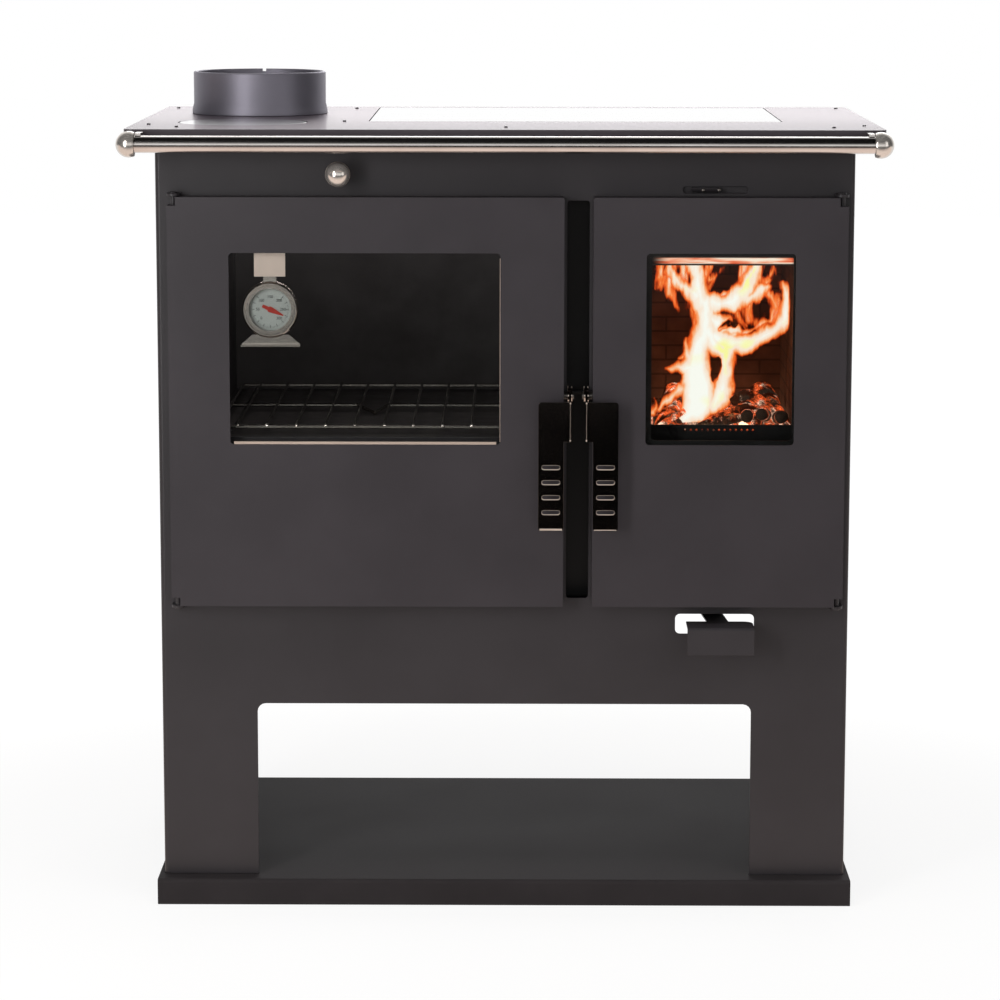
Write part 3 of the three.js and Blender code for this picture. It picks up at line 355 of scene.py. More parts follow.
hull_paint = stove_paint("hull_paint", display(53, 49, 52), 0.42)
door_paint = stove_paint("door_paint", display(57, 52, 56), 0.4)
top_paint = stove_paint("top_paint", display(60, 55, 60), 0.3, peel=0.000006)
worn = top_paint.between(top_paint.along("Y"), -0.215, 0.1, 0.35, 0.5)
grain = top_paint.cloud(420, detail=2) * 0.06
top_paint.wear(Roughness=grain + top_paint.between(top_paint.along("Y"), -0.215, 0.1, 0.48, 0.42))
top_paint.wear(Coat_Weight=worn, Coat_Roughness=0.12, Coat_IOR=1.5, Coat_Tint=display(255, 238, 247))
lid_paint = stove_paint("lid_paint", display(84, 80, 84), 0.34, peel=0.000006)
lid_paint.wear(Coat_Weight=0.6, Coat_Roughness=0.12, Coat_IOR=1.5)
collar_paint = stove_paint("collar_paint", display(146, 142, 153), 0.48)
collar_paint.wear(Metallic=0.75)
base_paint = stove_paint("base_paint", display(56, 52, 53), 0.7)
base_paint.wear(Specular_IOR_Level=0.06)
slot_black = stove_paint("slot_black", display(20, 19, 20), 0.6)
print("paints", hull_paint.material.name, door_paint.material.name)

# %% [markdown]
# Inside, the steel wears flat black paint that heat has dulled, with pale dust where ash settles.
# The ash only lies on faces that look up, which the shading normal tells.

# %% Sooty black paint
def sooty(name, tone, dust=0.2):
    soot = Finish(name, Specular_IOR_Level=0.3)
    upward = soot.split(soot.node("ShaderNodeNewGeometry", {}, output="Normal"), "Z")
    blotch = soot.cloud(22, detail=6, rough=0.65)
    settled = soot.between(upward, 0.6, 0.95) * soot.between(blotch, 0.4, 0.75) * dust
    soot.wear(Base_Color=soot.mix(settled, tone, display(126, 118, 108)))
    soot.wear(Roughness=soot.between(blotch, 0.2, 0.8, 0.55, 0.85))
    return soot.relief(soot.cloud(260, detail=4), 0.00015)


oven_black = sooty("oven_black", display(40, 37, 37), 0.05)
fire_black = sooty("fire_black", display(24, 22, 22), 0.5)
liner_black = sooty("liner_black", display(22, 21, 21), 0.05)
print("dull blacks ready")

# %% [markdown]
# ## Bright metal
# The rail, its caps, the damper knob and the oven thermometer are nickel-chrome plate. The rail
# was polished along its length, so its scratches are a noise stretched a hundred times along X.
# The handles wear the same plate with the smoothest surface of all. They look black because the room that
# they mirror is dark, and are bright only where an edge catches a lamp. Those bright edges are painted
# highlights here: strips of a pale satin, which also gives the damper knob its bright ring.

# %% Plated metal
def plate(name, tone, roughness, stretch=(1, 1, 1), scratch=0.00001):
    metal = Finish(name, Metallic=1.0)
    streak = metal.cloud(500, detail=3, where=metal.stretched(*stretch))
    smear = metal.cloud(16, detail=3)
    metal.wear(Base_Color=metal.mix(metal.between(smear, 0.35, 0.7) * 0.2, tone, display(150, 135, 124)))
    metal.wear(Roughness=roughness + (streak - 0.5) * 0.1 + (smear - 0.5) * 0.06)
    return metal.relief(streak, scratch)


# A pale satin for painted highlights: the bright edges of the handles and the bright ring round the damper
# knob.
rim_satin = plate("rim_satin", display(222, 204, 190), 0.42).wear(Metallic=0.35)
rail_plate = plate("rail_plate", display(226, 220, 216), 0.2, (0.01, 1, 1))
knob_plate = plate("knob_plate", display(230, 223, 216), 0.2).wear(Metallic=0.8)
handle_plate = plate("handle_plate", display(196, 182, 172), 0.08, scratch=0.000004)
gauge_plate = plate("gauge_plate", display(206, 198, 192), 0.2)
hanger_plate = plate("hanger_plate", display(226, 206, 196), 0.5, (1, 1, 0.05)).wear(Metallic=0.3)
wire_plate = plate("wire_plate", display(196, 190, 184), 0.22)
dull_steel = plate("dull_steel", display(120, 116, 112), 0.38, (1, 1, 0.1))
print("metals ready")

# %% [markdown]
# ## Glass, ceramic, brick, iron and rope
# A door pane is clear: most rays go straight through and a few mirror off. That is a Mix Shader of
# Transparent and a mirror, with a Fresnel factor, and it lets the lamps reach what is behind. The
# hob is black glass-ceramic and stays opaque.

# %% Clear glass
def clear_glass(name, tone, mirror):
    pane = Finish(name, Metallic=1.0, Base_Color=(0.9, 0.9, 0.9, 1), Roughness=0.02)
    clear = pane.node("ShaderNodeBsdfTransparent", {}, tone)
    facing = pane.node("ShaderNodeFresnel", {}, IOR=1.45)
    film = pane.cloud(5, detail=2) * 0.01
    share = ((facing + film) * mirror).held()
    pane.surface(pane.node("ShaderNodeMixShader", {}, share, clear, pane.own()))
    return pane


door_glass = clear_glass("door_glass", (0.96, 0.97, 0.96, 1), 0.45)
lens_glass = clear_glass("lens_glass", (0.96, 0.97, 0.97, 1), 0.9)
hob_ceramic = Finish("hob_ceramic", Specular_IOR_Level=1.0, Coat_Weight=1.0, Coat_Roughness=0.02,
                     Coat_IOR=1.9)
speck = hob_ceramic.between(hob_ceramic.cloud(1500, detail=0), 0.62, 0.72)
hob_ceramic.wear(Base_Color=hob_ceramic.mix(speck, display(14, 14, 16), display(46, 46, 50)))
hob_ceramic.wear(Roughness=0.05 + hob_ceramic.cloud(9, detail=3) * 0.03)
print("glass ready")

# %% [markdown]
# The firebox is lined with slabs of fired clay. A brick texture gives the joints, noise gives the
# grains of burnt clay and the soot over them. The grate is cast iron, rough as the sand it was
# poured in, with a bloom of rust. Round each door runs a rope of woven glass yarn, whose braid is
# a sine wave on a slanting axis. Photographs would do as well, but these need no picture.

# %% Firebrick, cast iron and rope seal
brick = Finish("firebrick", Specular_IOR_Level=0.2, Roughness=0.92)
across = brick.along("X") + brick.along("Y")
face = brick.vector(across, brick.along("Z"))
joint = brick.node("ShaderNodeTexBrick", {"offset": 0.5}, face, Scale=1.0, Mortar_Size=0.0012,
                   Brick_Width=0.072, Row_Height=0.0165, output="Fac")
grog = brick.cloud(180, detail=5, rough=0.7)
fired = brick.colours(brick.cloud(26, detail=4), (0.3, display(62, 38, 30)), (0.7, display(96, 62, 48)))
sooted = brick.mix(brick.between(brick.cloud(9, detail=5), 0.42, 0.7) * 0.8, fired, display(34, 26, 22))
brick.wear(Base_Color=brick.mix(joint * 0.5, sooted, display(28, 20, 17)))
brick.relief(grog * 0.4 - joint * 0.5, 0.001)

iron = Finish("cast_iron", Metallic=0.6, Specular_IOR_Level=0.4)
rust = iron.between(iron.cloud(30, detail=6, rough=0.7), 0.5, 0.72)
iron.wear(Base_Color=iron.mix(rust, display(44, 42, 42), display(96, 58, 38)), Roughness=0.6 + rust * 0.25)
iron.relief(iron.cloud(300, detail=4), 0.0004)

rope = Finish("rope_seal", Roughness=0.95, Specular_IOR_Level=0.1)
slant = rope.along("X") + rope.along("Z") + rope.along("Y") * 0.6
braid = rope.node("ShaderNodeMath", {"operation": "SINE"}, slant * 1400)
rope.wear(Base_Color=rope.mix(braid * 0.5 + 0.5, display(30, 29, 28), display(70, 68, 66)))
rope.relief(braid * 0.5 + rope.cloud(700) * 0.6, 0.0006)
print("brick, iron and rope ready")

# %% [markdown]
# The oven thermometer's disc is enamelled white, its needle is lacquered red and its marks are
# printed black. Small flat areas like these need no relief: two close tones in a fine cloud keep
# them from looking like plain fills.

# %% The dial's face and its pointer
dial_white = Finish("dial_white", Roughness=0.5)
dial_white.specks(60, display(206, 208, 206), display(226, 226, 222))
needle_red = Finish("needle_red", Roughness=0.4)
needle_red.specks(300, display(206, 40, 30), display(228, 66, 48))
print_black = Finish("print_black", Roughness=0.6)
print_black.specks(900, display(30, 30, 32), display(58, 58, 60))
print("dial ready")

# %% [markdown]
# ## Dressing the sheet-metal pieces
# The model's nodes are loose triangles with knife-sharp edges. Real folded and laser-cut sheet has
# a small radius everywhere, and that radius is what draws the thin bright lines in the photograph.
# So each visible node gets a copy with its doubles merged, flat faces joined, a narrow bevel where
# it shows and smooth shading up to an angle. The copy replaces the node and stays where it was.

# %% Dress a node
def body_of(node):
    return frame["nodes"][node]["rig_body"]


def frozen(live, layers=False):
    """A plain mesh of what an object shows once its modifiers have run."""
    graph = bpy.context.evaluated_depsgraph_get()
    return bpy.data.meshes.new_from_object(live.evaluated_get(graph), preserve_all_data_layers=layers,
                                           depsgraph=graph)


def dressed(node, finish, ease, weld=3e-6, flat=0.5, smooth=35.0):
    """A copy of a node with eased edges, in its finish. Ease and weld are in metres, and the angles
    up to which faces count as flat or smooth are in degrees."""
    mesh = frame["nodes"][node].data.copy()
    shape = bmesh.new()
    shape.from_mesh(mesh)
    bmesh.ops.remove_doubles(shape, verts=shape.verts, dist=weld)
    bmesh.ops.dissolve_limit(shape, angle_limit=math.radians(flat), verts=shape.verts,
                             edges=shape.edges, delimit={"NORMAL"})
    shape.to_mesh(mesh)
    shape.free()
    mesh.materials.clear()
    mesh.materials.append(finish.material)
    piece = placed(node + "_finish", mesh)
    mesh.shade_smooth()
    mesh.set_sharp_from_angle(angle=math.radians(smooth))
    if ease:
        bevel = piece.modifiers.new("ease", "BEVEL")
        bevel.width = ease
        bevel.segments = 2
        bevel.angle_limit = math.radians(30)
    flatter = piece.modifiers.new("flatter", "WEIGHTED_NORMAL")
    flatter.weight = 100
    flatter.keep_sharp = True
    baked = frozen(piece, layers=True)
    piece.modifiers.clear()
    piece.data = baked
    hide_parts(node)
    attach(piece, body_of(node))


# %% [markdown]
# Each finish goes on the pieces that wear it. The number beside it is the width of the bevel in
# metres: a cast grate is rounder than a bent sheet, and panes, rope, round bars, small pieces and
# most of the inside get none. One table is easier to change than a call for every piece.

# %% Give every node its finish
finishes = [
    (hull_paint, 0.0004, "front_panel side_panel_left side_panel_right back_panel air_lever "
     "oven_hinge_top oven_hinge_bottom fire_hinge_top fire_hinge_bottom"),
    (base_paint, 0.0006, "base_tray"),
    (slot_black, 0.0, "latch_channel catch_pin"),
    (door_paint, 0.0006, "oven_door_pan fire_door_pan"),
    (top_paint, 0.0005, "top_plate"),
    (lid_paint, 0.0005, "round_lid"),
    (collar_paint, 0.0003, "flue_collar"),
    (rail_plate, 0.0, "rail_tube rail_bracket_left rail_bracket_right"),
    (knob_plate, 0.0, "damper_bush"),
    (handle_plate, 0.0009, "oven_handle fire_handle"),
    (hull_paint, 0.0, "air_slider"),
    (gauge_plate, 0.0002, "thermometer_case"),
    (hanger_plate, 0.0, "thermometer_hanger"),
    (wire_plate, 0.0, "oven_rack"),
    (dull_steel, 0.0, "damper_slide damper_rod slider_guide lever_bolt oven_handle_pin fire_handle_pin"),
    (oven_black, 0.0, "oven_box smoke_shelf"),
    (fire_black, 0.0, "grate_shelf divider_wall ash_floor ash_pan hob_frame lid_seat"),
    (fire_black, 0.0003, "log_guard"),
    (liner_black, 0.0, "oven_door_liner fire_door_liner"),
    (rope, 0.0, "oven_door_gasket fire_door_gasket"),
    (brick, 0.001, "firebrick_left firebrick_right firebrick_back"),
    (iron, 0.0008, "fire_grate"),
    (hob_ceramic, 0.0004, "hob_glass"),
    (door_glass, 0.0, "oven_door_glass fire_door_glass"),
    (lens_glass, 0.0, "thermometer_lens"),
    (dial_white, 0.0, "thermometer_dial"),
    (needle_red, 0.0, "thermometer_needle"),
]
for finish, ease, names in finishes:
    for node in names.split():
        dressed(node, finish, ease)
missing = sorted(set(frame["nodes"]) - {n for row in finishes for n in row[2].split()})
print("still to make by hand:", missing)

# %% [markdown]
# ## The turned knobs
# The rail's ball caps and the damper's knob are turned on a lathe and polished, so any facet would
# show. They are spun here from a half section with many steps, in place of the model's coarser ones.

# %% Spin the balls
def skin(shape, rows):
    """Faces between each row of corners and the next. A row of one corner is a point."""
    for low, high in zip(rows, rows[1:]):
        count = max(len(low), len(high))
        for k in range(count):
            n = (k + 1) % count
            ring = [low[k % len(low)], low[n % len(low)], high[n % len(high)], high[k % len(high)]]
            shape.faces.new(list(dict.fromkeys(ring)))


def piece_from(name, shape, *looks):
    """An object of the faces in `shape`, all turned outwards, in one or more finishes."""
    bmesh.ops.recalc_face_normals(shape, faces=shape.faces)
    mesh = bpy.data.meshes.new(name)
    shape.to_mesh(mesh)
    shape.free()
    for finish in looks:
        mesh.materials.append(finish.material)
    return placed(name, mesh)


def turned(name, section, finish, centre, axis, node, steps=64, stands_for=True):
    """A closed turned piece. The section is a list of (radius, height), heights along the axis.
    A section that starts off the axis is a ring."""
    shape = bmesh.new()
    rows = []
    for radius, height in section:
        if radius == 0:
            rows.append([shape.verts.new((0, 0, height))])
        else:
            rows.append([shape.verts.new((radius * math.cos(a), radius * math.sin(a), height))
                         for a in (2 * math.pi * k / steps for k in range(steps))])
    if section[0][0] > 0:
        rows.append(rows[0])
    skin(shape, rows)
    turn_to = Vector(axis).to_track_quat("Z", "Y").to_matrix().to_4x4()
    bmesh.ops.transform(shape, matrix=Matrix.Translation(centre) @ turn_to, verts=shape.verts)
    piece = piece_from(name, shape, finish)
    piece.data.shade_smooth()
    piece.data.set_sharp_from_angle(angle=math.radians(32))
    if stands_for:
        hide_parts(node)
    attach(piece, body_of(node))


def arc(radius, start, end, steps=28):
    return [(radius * math.cos(a), radius * math.sin(a))
            for a in (math.radians(start + (end - start) * k / steps) for k in range(steps + 1))]


ball = 0.0135
shank = {"flat": 0.0057, "peg": 0.010, "radius": 0.00695}
for side, node in ((-1, "rail_cap_left"), (1, "rail_cap_right")):
    low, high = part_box(node)
    outer = high.x if side > 0 else low.x
    middle = Vector((outer - side * ball, (low.y + high.y) / 2, (low.z + high.z) / 2))
    first = -math.degrees(math.asin(shank["flat"] / ball))
    section = [(0, -shank["flat"] - shank["peg"]), (shank["radius"], -shank["flat"] - shank["peg"]),
               (shank["radius"], -shank["flat"])] + arc(ball, first, 89.9) + [(0, ball)]
    turned(node + "_ball", section, knob_plate, middle, (side, 0, 0), node)

low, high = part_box("damper_knob")
radius = (high.x - low.x) / 2
middle = Vector(((low.x + high.x) / 2, low.y + radius, (low.z + high.z) / 2))
neck = {"radius": 0.0065, "back": high.y - middle.y}
first = -math.degrees(math.acos(neck["radius"] / radius))
section = [(0, -neck["back"]), (neck["radius"], -neck["back"])] + arc(radius, first, 89.9) + [(0, radius)]
turned("damper_knob_ball", section, knob_plate, middle, (0, -1, 0), "damper_knob")
# A thin ring of the pale satin round the ball's widest part is a painted highlight: the bright ring round
# the knob's edge. It is a piece of its own and hides no node.
painted_highlight_ring = [(0.0119, -0.001), (0.0126, -0.001), (0.01295, -0.0004),
         (0.01295, 0.0004), (0.0124, 0.0016), (0.0119, 0.0016)]
turned("damper_knob_waist", painted_highlight_ring, rim_satin, middle, (0, -1, 0), "damper_knob", stands_for=False)
print("balls", [round(1000 * r, 2) for r in (ball, radius)], "mm")

# %% [markdown]
# ## Small repeated pieces with Geometry Nodes
# Screws, the marks of a dial and lumps of ember all repeat, so each kind is a node tree with named
# sizes. The tree puts one piece on every point of a mesh or a line, and the result is baked to a
# plain mesh, so that nothing live is left. The modifier takes each size by its identifier.

# %% A recipe: a Geometry Nodes tree that ends as a plain mesh
class Recipe(Tree):
    """Named sizes go in, and bake() gives a plain object."""

    def __init__(self, name, **sizes):
        tree = bpy.data.node_groups.new(name, "GeometryNodeTree")
        super().__init__(tree)
        tree.interface.new_socket(name="Geometry", in_out="INPUT", socket_type="NodeSocketGeometry")
        tree.interface.new_socket(name="Geometry", in_out="OUTPUT", socket_type="NodeSocketGeometry")
        self.keys = {}
        for key, value in sizes.items():
            kind = "NodeSocketInt" if isinstance(value, int) else "NodeSocketFloat"
            socket = tree.interface.new_socket(name=key, in_out="INPUT", socket_type=kind)
            socket.default_value = value
            self.keys[key] = socket.identifier
        self.start = tree.nodes.new("NodeGroupInput")
        self.end = tree.nodes.new("NodeGroupOutput")

    def given(self, name):
        return Wire(self, self.start.outputs[name])

    def ends(self, geometry, finish):
        real = self.node("GeometryNodeRealizeInstances", {}, geometry)
        painted = self.node("GeometryNodeSetMaterial", {}, real, Material=finish.material)
        self.plug(self.end.inputs["Geometry"], painted)

    def bake(self, name, mesh, body, slot, place=Matrix.Identity(4), **sizes):
        source = placed(name + "_source", mesh)
        live = source.modifiers.new("recipe", "NODES")
        live.node_group = self.tree
        for key, value in sizes.items():
            live[self.keys[key]] = value
        baked = frozen(source)
        source.modifiers.clear()
        bpy.data.objects.remove(source)
        baked.transform(place)
        piece = placed(name, baked)
        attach(piece, body)
        print(name, len(baked.polygons), "faces")


def points(name, places):
    mesh = bpy.data.meshes.new(name)
    mesh.from_pydata(places, [], [])
    return mesh


def upright(x, y, z, degrees):
    """Stands flat work up at a place, facing the rear with -90 degrees and the cook with 90."""
    return Matrix.Translation((x, y, z)) @ Matrix.Rotation(math.radians(degrees), 4, "X")


print("recipe tools ready")

# %% [markdown]
# The hull is screwed together with small black cross-head screws. Each is a flat cone on a shank,
# and two thin blocks cut the cross. Every screw gets its own turn from a seeded random number, as
# nobody lines them up. On the top they sit where the photograph shows them. Down the back and on
# the door liners, which it doesn't show, they are evenly spaced.

# %% Cross-head screws
black_screw = Finish("black_screw", Metallic=0.8, Roughness=0.38)
black_screw.specks(700, display(38, 36, 38), display(74, 70, 72))
screws = Recipe("cross_head_screws", head=0.0036, rise=0.0012, shank=0.0019, length=0.006,
                recess=0.0007, seed=3)
rise = screws.given("rise")
tall = screws.given("length") + rise
head = screws.node("GeometryNodeMeshCone", {}, Vertices=28, Side_Segments=1, Fill_Segments=2,
                   Radius_Top=screws.given("head") * 0.62, Radius_Bottom=screws.given("head"), Depth=rise)
pin = screws.node("GeometryNodeMeshCylinder", {}, Vertices=20, Side_Segments=1, Fill_Segments=1,
                  Radius=screws.given("shank"), Depth=tall)
lower = screws.vector(z=0.5 * tall - screws.given("length"))
pin = screws.node("GeometryNodeTransform", {}, pin, Translation=lower)
whole = screws.node("GeometryNodeMeshBoolean", {"operation": "UNION", "solver": "EXACT"}, None, head)
screws.tree.links.new(pin.socket, whole.socket.node.inputs["Mesh 2"])
arm_length = 1.1 * screws.given("head")
arm_width = screws.given("recess")
cut = {"operation": "DIFFERENCE", "solver": "EXACT"}
for arm in (screws.vector(arm_length, arm_width, rise), screws.vector(arm_width, arm_length, rise)):
    cutter = screws.node("GeometryNodeMeshCube", {}, arm)
    cutter = screws.node("GeometryNodeTransform", {}, cutter, Translation=screws.vector(z=rise))
    whole = screws.node("GeometryNodeMeshBoolean", cut, whole, cutter)
spin = screws.node("FunctionNodeRandomValue", {"data_type": "FLOAT"}, Min=0.0, Max=3.14,
                   Seed=screws.given("seed"))
spread = screws.node("GeometryNodeInstanceOnPoints", {}, screws.given("Geometry"), Instance=whole,
                     Rotation=screws.vector(z=spin))
screws.ends(spread, black_screw)

top_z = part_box("top_plate")[1].z
front_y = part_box("front_panel")[0].y
screw_places = [(-0.3766, 0.049), (-0.343, 0.004), (-0.3787, 0.398), (-0.173, 0.1144), (-0.1727, 0.395),
                (0.001, 0.004), (0.343, 0.004), (0.378, 0.040), (0.380, 0.405)]
on_top = points("top_screw_points", [(x, front_y + y, top_z) for x, y in screw_places])
screws.bake("top_screws", on_top, "stove", "raw_steel")
low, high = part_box("back_panel")
from_side, from_end = 0.011, 0.014
back_rows = [low.z + from_end + (high.z - low.z - 2 * from_end) * k / 4 for k in range(5)]
back_spots = [(side * (high.x - from_side), -z, 0) for side in (-1, 1) for z in back_rows]
on_back = points("back_screw_points", back_spots)
face_rear = upright(0, high.y, 0, -90)
screws.bake("back_panel_screws", on_back, "stove", "raw_steel", face_rear, length=0.002)
inset = 0.009
for door in ("oven", "fire"):
    low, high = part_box(door + "_door_liner")
    xs = (low.x + inset, high.x - inset)
    zs = [low.z + inset + (high.z - low.z - 2 * inset) * k / 3 for k in range(4)]
    spots = points(door + "_screw_points", [(x, -z, 0) for x in xs for z in zs])
    face_rear = upright(0, high.y, 0, -90)
    screws.bake(door + "_liner_screws", spots, door + "_door", "raw_steel", face_rear, length=0.003)

# %% [markdown]
# The two dots in the air slider's tab are the heads of the rivets that hold it to the slide. Each
# is a low dome turned from a half section, like the balls, and rides with the slider. There are
# only two, so a recipe of their own would be more work than it saves.

# %% Rivets on the air slider
low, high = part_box("air_slider")
rivet_row = [(low.x + 0.047, low.z + 0.009), (low.x + 0.0637, low.z + 0.009)]
dome = [(0, -0.001), (0.0018, -0.001), (0.0018, 0.0002)]
dome += [(r * 0.0018, 0.0002 + h * 0.0008) for r, h in arc(1, 0, 89.9, 8)] + [(0, 0.001)]
for k, (x, z) in enumerate(rivet_row):
    turned(f"slider_rivet_{k + 1}", dome, dull_steel, Vector((x, low.y, z)), (0, -1, 0), "air_slider",
           steps=28, stands_for=False)
print("air slider", [round(v * 1000, 1) for v in (*low, *high)])

# %% [markdown]
# The lower and right edges of the oven window carry a thin satin bead that holds the pane. It lies
# inside the thickness of the door's sheet, and shows as a pale line under the dark glass.

# %% The oven window's bead
def bar(shape, low, high):
    """A block between two corners, in metres."""
    low, high = Vector(low), Vector(high)
    corners = bmesh.ops.create_cube(shape, size=1.0)["verts"]
    bmesh.ops.scale(shape, vec=high - low, verts=corners)
    bmesh.ops.translate(shape, vec=(low + high) / 2, verts=corners)


def trim(name, shape, finish, node):
    """One finished piece from the faces in `shape`, riding with `node`."""
    piece = piece_from(name, shape, finish)
    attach(piece, body_of(node))
    print(name, len(piece.data.polygons), "faces")


bead_finish = plate("bead_satin", display(196, 176, 162), 0.46, (0.02, 1, 1)).wear(Metallic=0.15)
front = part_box("oven_door_pan")[0].y + 0.0004
rear = front + 0.0024
window = {"left": -0.2838, "right": -0.0046, "foot": 0.4998, "top": 0.6965}
shape = bmesh.new()
bar(shape, (window["left"], front, window["foot"] + 0.0001),
    (window["right"] - 0.004, rear, window["foot"] + 0.0028))
bar(shape, (window["right"] - 0.0004, front, window["foot"] + 0.003),
    (window["right"] + 0.0002, rear, window["top"] - 0.001))
bmesh.ops.bevel(shape, geom=shape.edges[:], offset=0.00015, segments=2, affect="EDGES")
trim("oven_window_bead", shape, bead_finish, "oven_door_pan")

# %% [markdown]
# Seen from the front, the handles mirror mostly the dark end of the room. What draws the real ones is the
# light on their edges: the turned-up lip under the grip, the pressed edges of the four slots, the bend
# towards the flange and the front of the eye that the pin goes through. Here those highlights are painted:
# each is a thin strip of pale satin laid on the edge, heavier along the bottom and taller under the oven
# handle's grip. A shader could paint a bright edge, but a strip of its own also moves with the handle when
# it turns. All painted highlights of a handle are one piece, which rides with it.

# %% Painted highlights on the handles' edges
def around_slot(width, height, steps=8):
    """Points round a slot with half-round ends, about its middle."""
    radius = height / 2
    turns = [math.radians(-90 + 180 * k / steps) for k in range(steps + 1)]
    end = [(width / 2 - radius + radius * math.cos(a), radius * math.sin(a)) for a in turns]
    return end + [(-x, -z) for x, z in end]


def slot_highlight(shape, middle, width, height):
    """A closed ring of painted highlight round one slot, heavier along the bottom."""
    outside = around_slot(width + 0.0002, height + 0.0002)
    inside = [(x, z + 0.0006 * (z < 0)) for x, z in around_slot(width - 0.0003, height - 0.0002)]
    loops = []
    for flat, depth in ((outside, -0.0001), (inside, -0.0001), (inside, 0.0006), (outside, 0.0006)):
        loops.append([shape.verts.new(middle + Vector((x, depth, z))) for x, z in flat])
    skin(shape, loops + loops[:1])


def eye_highlight(shape, middle, half=0.00045, inner=0.0072, outer=0.0083, steps=16):
    """Half a ring of painted highlight round the front of the handle's eye, with closed ends."""
    corners = ((inner, -half), (outer, -half), (outer, half), (inner, half))
    rows = []
    for k in range(steps + 1):
        a = math.radians(90 + 180 * k / steps)
        spots = [middle + Vector((x, r * math.cos(a), r * math.sin(a))) for r, x in corners]
        rows.append([shape.verts.new(spot) for spot in spots])
    skin(shape, rows)
    shape.faces.new(rows[0])
    shape.faces.new(rows[-1])


grip = {"width": 0.0263, "flange": 0.0332, "eye": (0.0312, 0.0352), "pivot": 0.1387, "ahead": 0.047}
slot_cut = {"count": 4, "top": 0.0716, "pitch": 0.0159, "width": 0.0192, "height": 0.0049}
# The last number of each row is the height, in metres, of the painted highlight along the lip under the
# grip.
for door, side, lip in (("oven", 1, 0.0028), ("fire", -1, 0.0017)):
    node = door + "_handle"
    low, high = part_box(node)
    outer = low.x if side > 0 else high.x
    pivot = low.z + grip["pivot"]
    shape = bmesh.new()
    bend = grip["flange"]
    # Straight strips of painted highlight, each as x, z and y ranges: along the lip, down the flange, and a
    # short one at each end of that.
    spans = [((0.0012, grip["width"] - 0.001), (low.z + 0.0001, low.z + lip), (-0.0001, 0.0014)),
             ((bend - 0.0005, bend + 0.0005), (pivot - 0.043, pivot - 0.004), (-0.0002, 0.0008)),
             ((bend - 0.001, bend + 0.001), (pivot - 0.0442, pivot - 0.042), (-0.0003, 0.001)),
             ((bend - 0.0009, bend + 0.0009), (pivot - 0.0052, pivot - 0.003), (-0.0002, 0.001))]
    for xs, zs, ys in spans:
        x0, x1 = sorted(outer + side * x for x in xs)
        bar(shape, (x0, low.y + ys[0], zs[0]), (x1, low.y + ys[1], zs[1]))
    bmesh.ops.bevel(shape, geom=shape.edges[:], offset=0.0004, segments=2, affect="EDGES")
    slot_x = outer + side * grip["width"] / 2
    for k in range(slot_cut["count"]):
        slot_z = pivot - slot_cut["top"] - k * slot_cut["pitch"]
        slot_highlight(shape, Vector((slot_x, low.y, slot_z)), slot_cut["width"], slot_cut["height"])
    for x in grip["eye"]:
        eye_highlight(shape, Vector((outer + side * x, low.y + grip["ahead"], pivot)))
    trim(node + "_rims", shape, rim_satin, node)

# %% [markdown]
# ## The oven thermometer
# A bought-in dial: a white printed disc with a mark every twenty-five degrees, finer ones every
# five and a number every fifty. The marks are a recipe along an arc. The numbers are text turned
# into thin closed mesh. Both sit a tenth of a millimetre in front of the disc.

# %% Marks on the dial
dial_low, dial_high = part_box("thermometer_dial")
centre = (dial_low + dial_high) / 2
marks = Recipe("dial_marks", radius=0.018, count=13, start=-225.0, sweep=270.0, long=0.003,
               thick=0.0005, seed=1)
one_degree = math.pi / 180
arc_line = marks.node("GeometryNodeCurveArc", {"mode": "RADIUS"}, marks.given("count"),
                      marks.given("radius"), marks.given("start") * one_degree,
                      marks.given("sweep") * one_degree)
spots = marks.node("GeometryNodeCurveToPoints", {"mode": "EVALUATED"}, arc_line)
outward = marks.node("FunctionNodeAlignRotationToVector", {"axis": "X"}, None, 1.0,
                     marks.node("GeometryNodeInputPosition", {}))
block = marks.vector(marks.given("long"), marks.given("thick"), 0.0002)
mark = marks.node("GeometryNodeMeshCube", {}, block)
ring = marks.node("GeometryNodeInstanceOnPoints", {}, spots, Instance=mark, Rotation=outward)
marks.ends(ring, print_black)
print_y = dial_low.y - 0.0002
on_dial = upright(centre.x, print_y, centre.z, 90)
marks.bake("dial_marks", points("one_point", [(0, 0, 0)]), "oven_door", "dial_white", on_dial)
marks.bake("dial_fine_marks", points("one_more_point", [(0, 0, 0)]), "oven_door", "dial_white", on_dial,
           count=61, long=0.0014, thick=0.0002, radius=0.0188)

# %% [markdown]
# The bezel is a ring of plated sheet rolled over the edge of the glass. Its section has a round
# back, a crest and a groove towards the glass. It is turned from that section like the balls, and
# written in millimetres because it is so small.

# %% The rolled bezel
bezel_rear = -0.1872
bezel = [(22.4, 0), (29.0, 0), (29.6, 1), (29.6, 4.4), (28.9, 6.2), (27.6, 7.2),
         (26.2, 7.2), (25.0, 6.2), (24.3, 4.8), (23.4, 5.6), (22.8, 5.4), (22.4, 4.6)]
bezel = [(r / 1000, h / 1000) for r, h in bezel]
turned("thermometer_bezel", bezel, gauge_plate, Vector((centre.x, bezel_rear, centre.z)), (0, -1, 0),
       "thermometer_case", steps=72, stands_for=False)
print("bezel", round(2000 * max(r for r, _ in bezel), 1), "mm across")

# %% [markdown]
# The numbers run from 0 at the lower left to 300 at the lower right. Blender's own text gives the
# figures, a little thicker than nothing so that they are closed solids, and becomes a plain mesh.
# Drawing them in an image would need a picture file, and would blur close up.

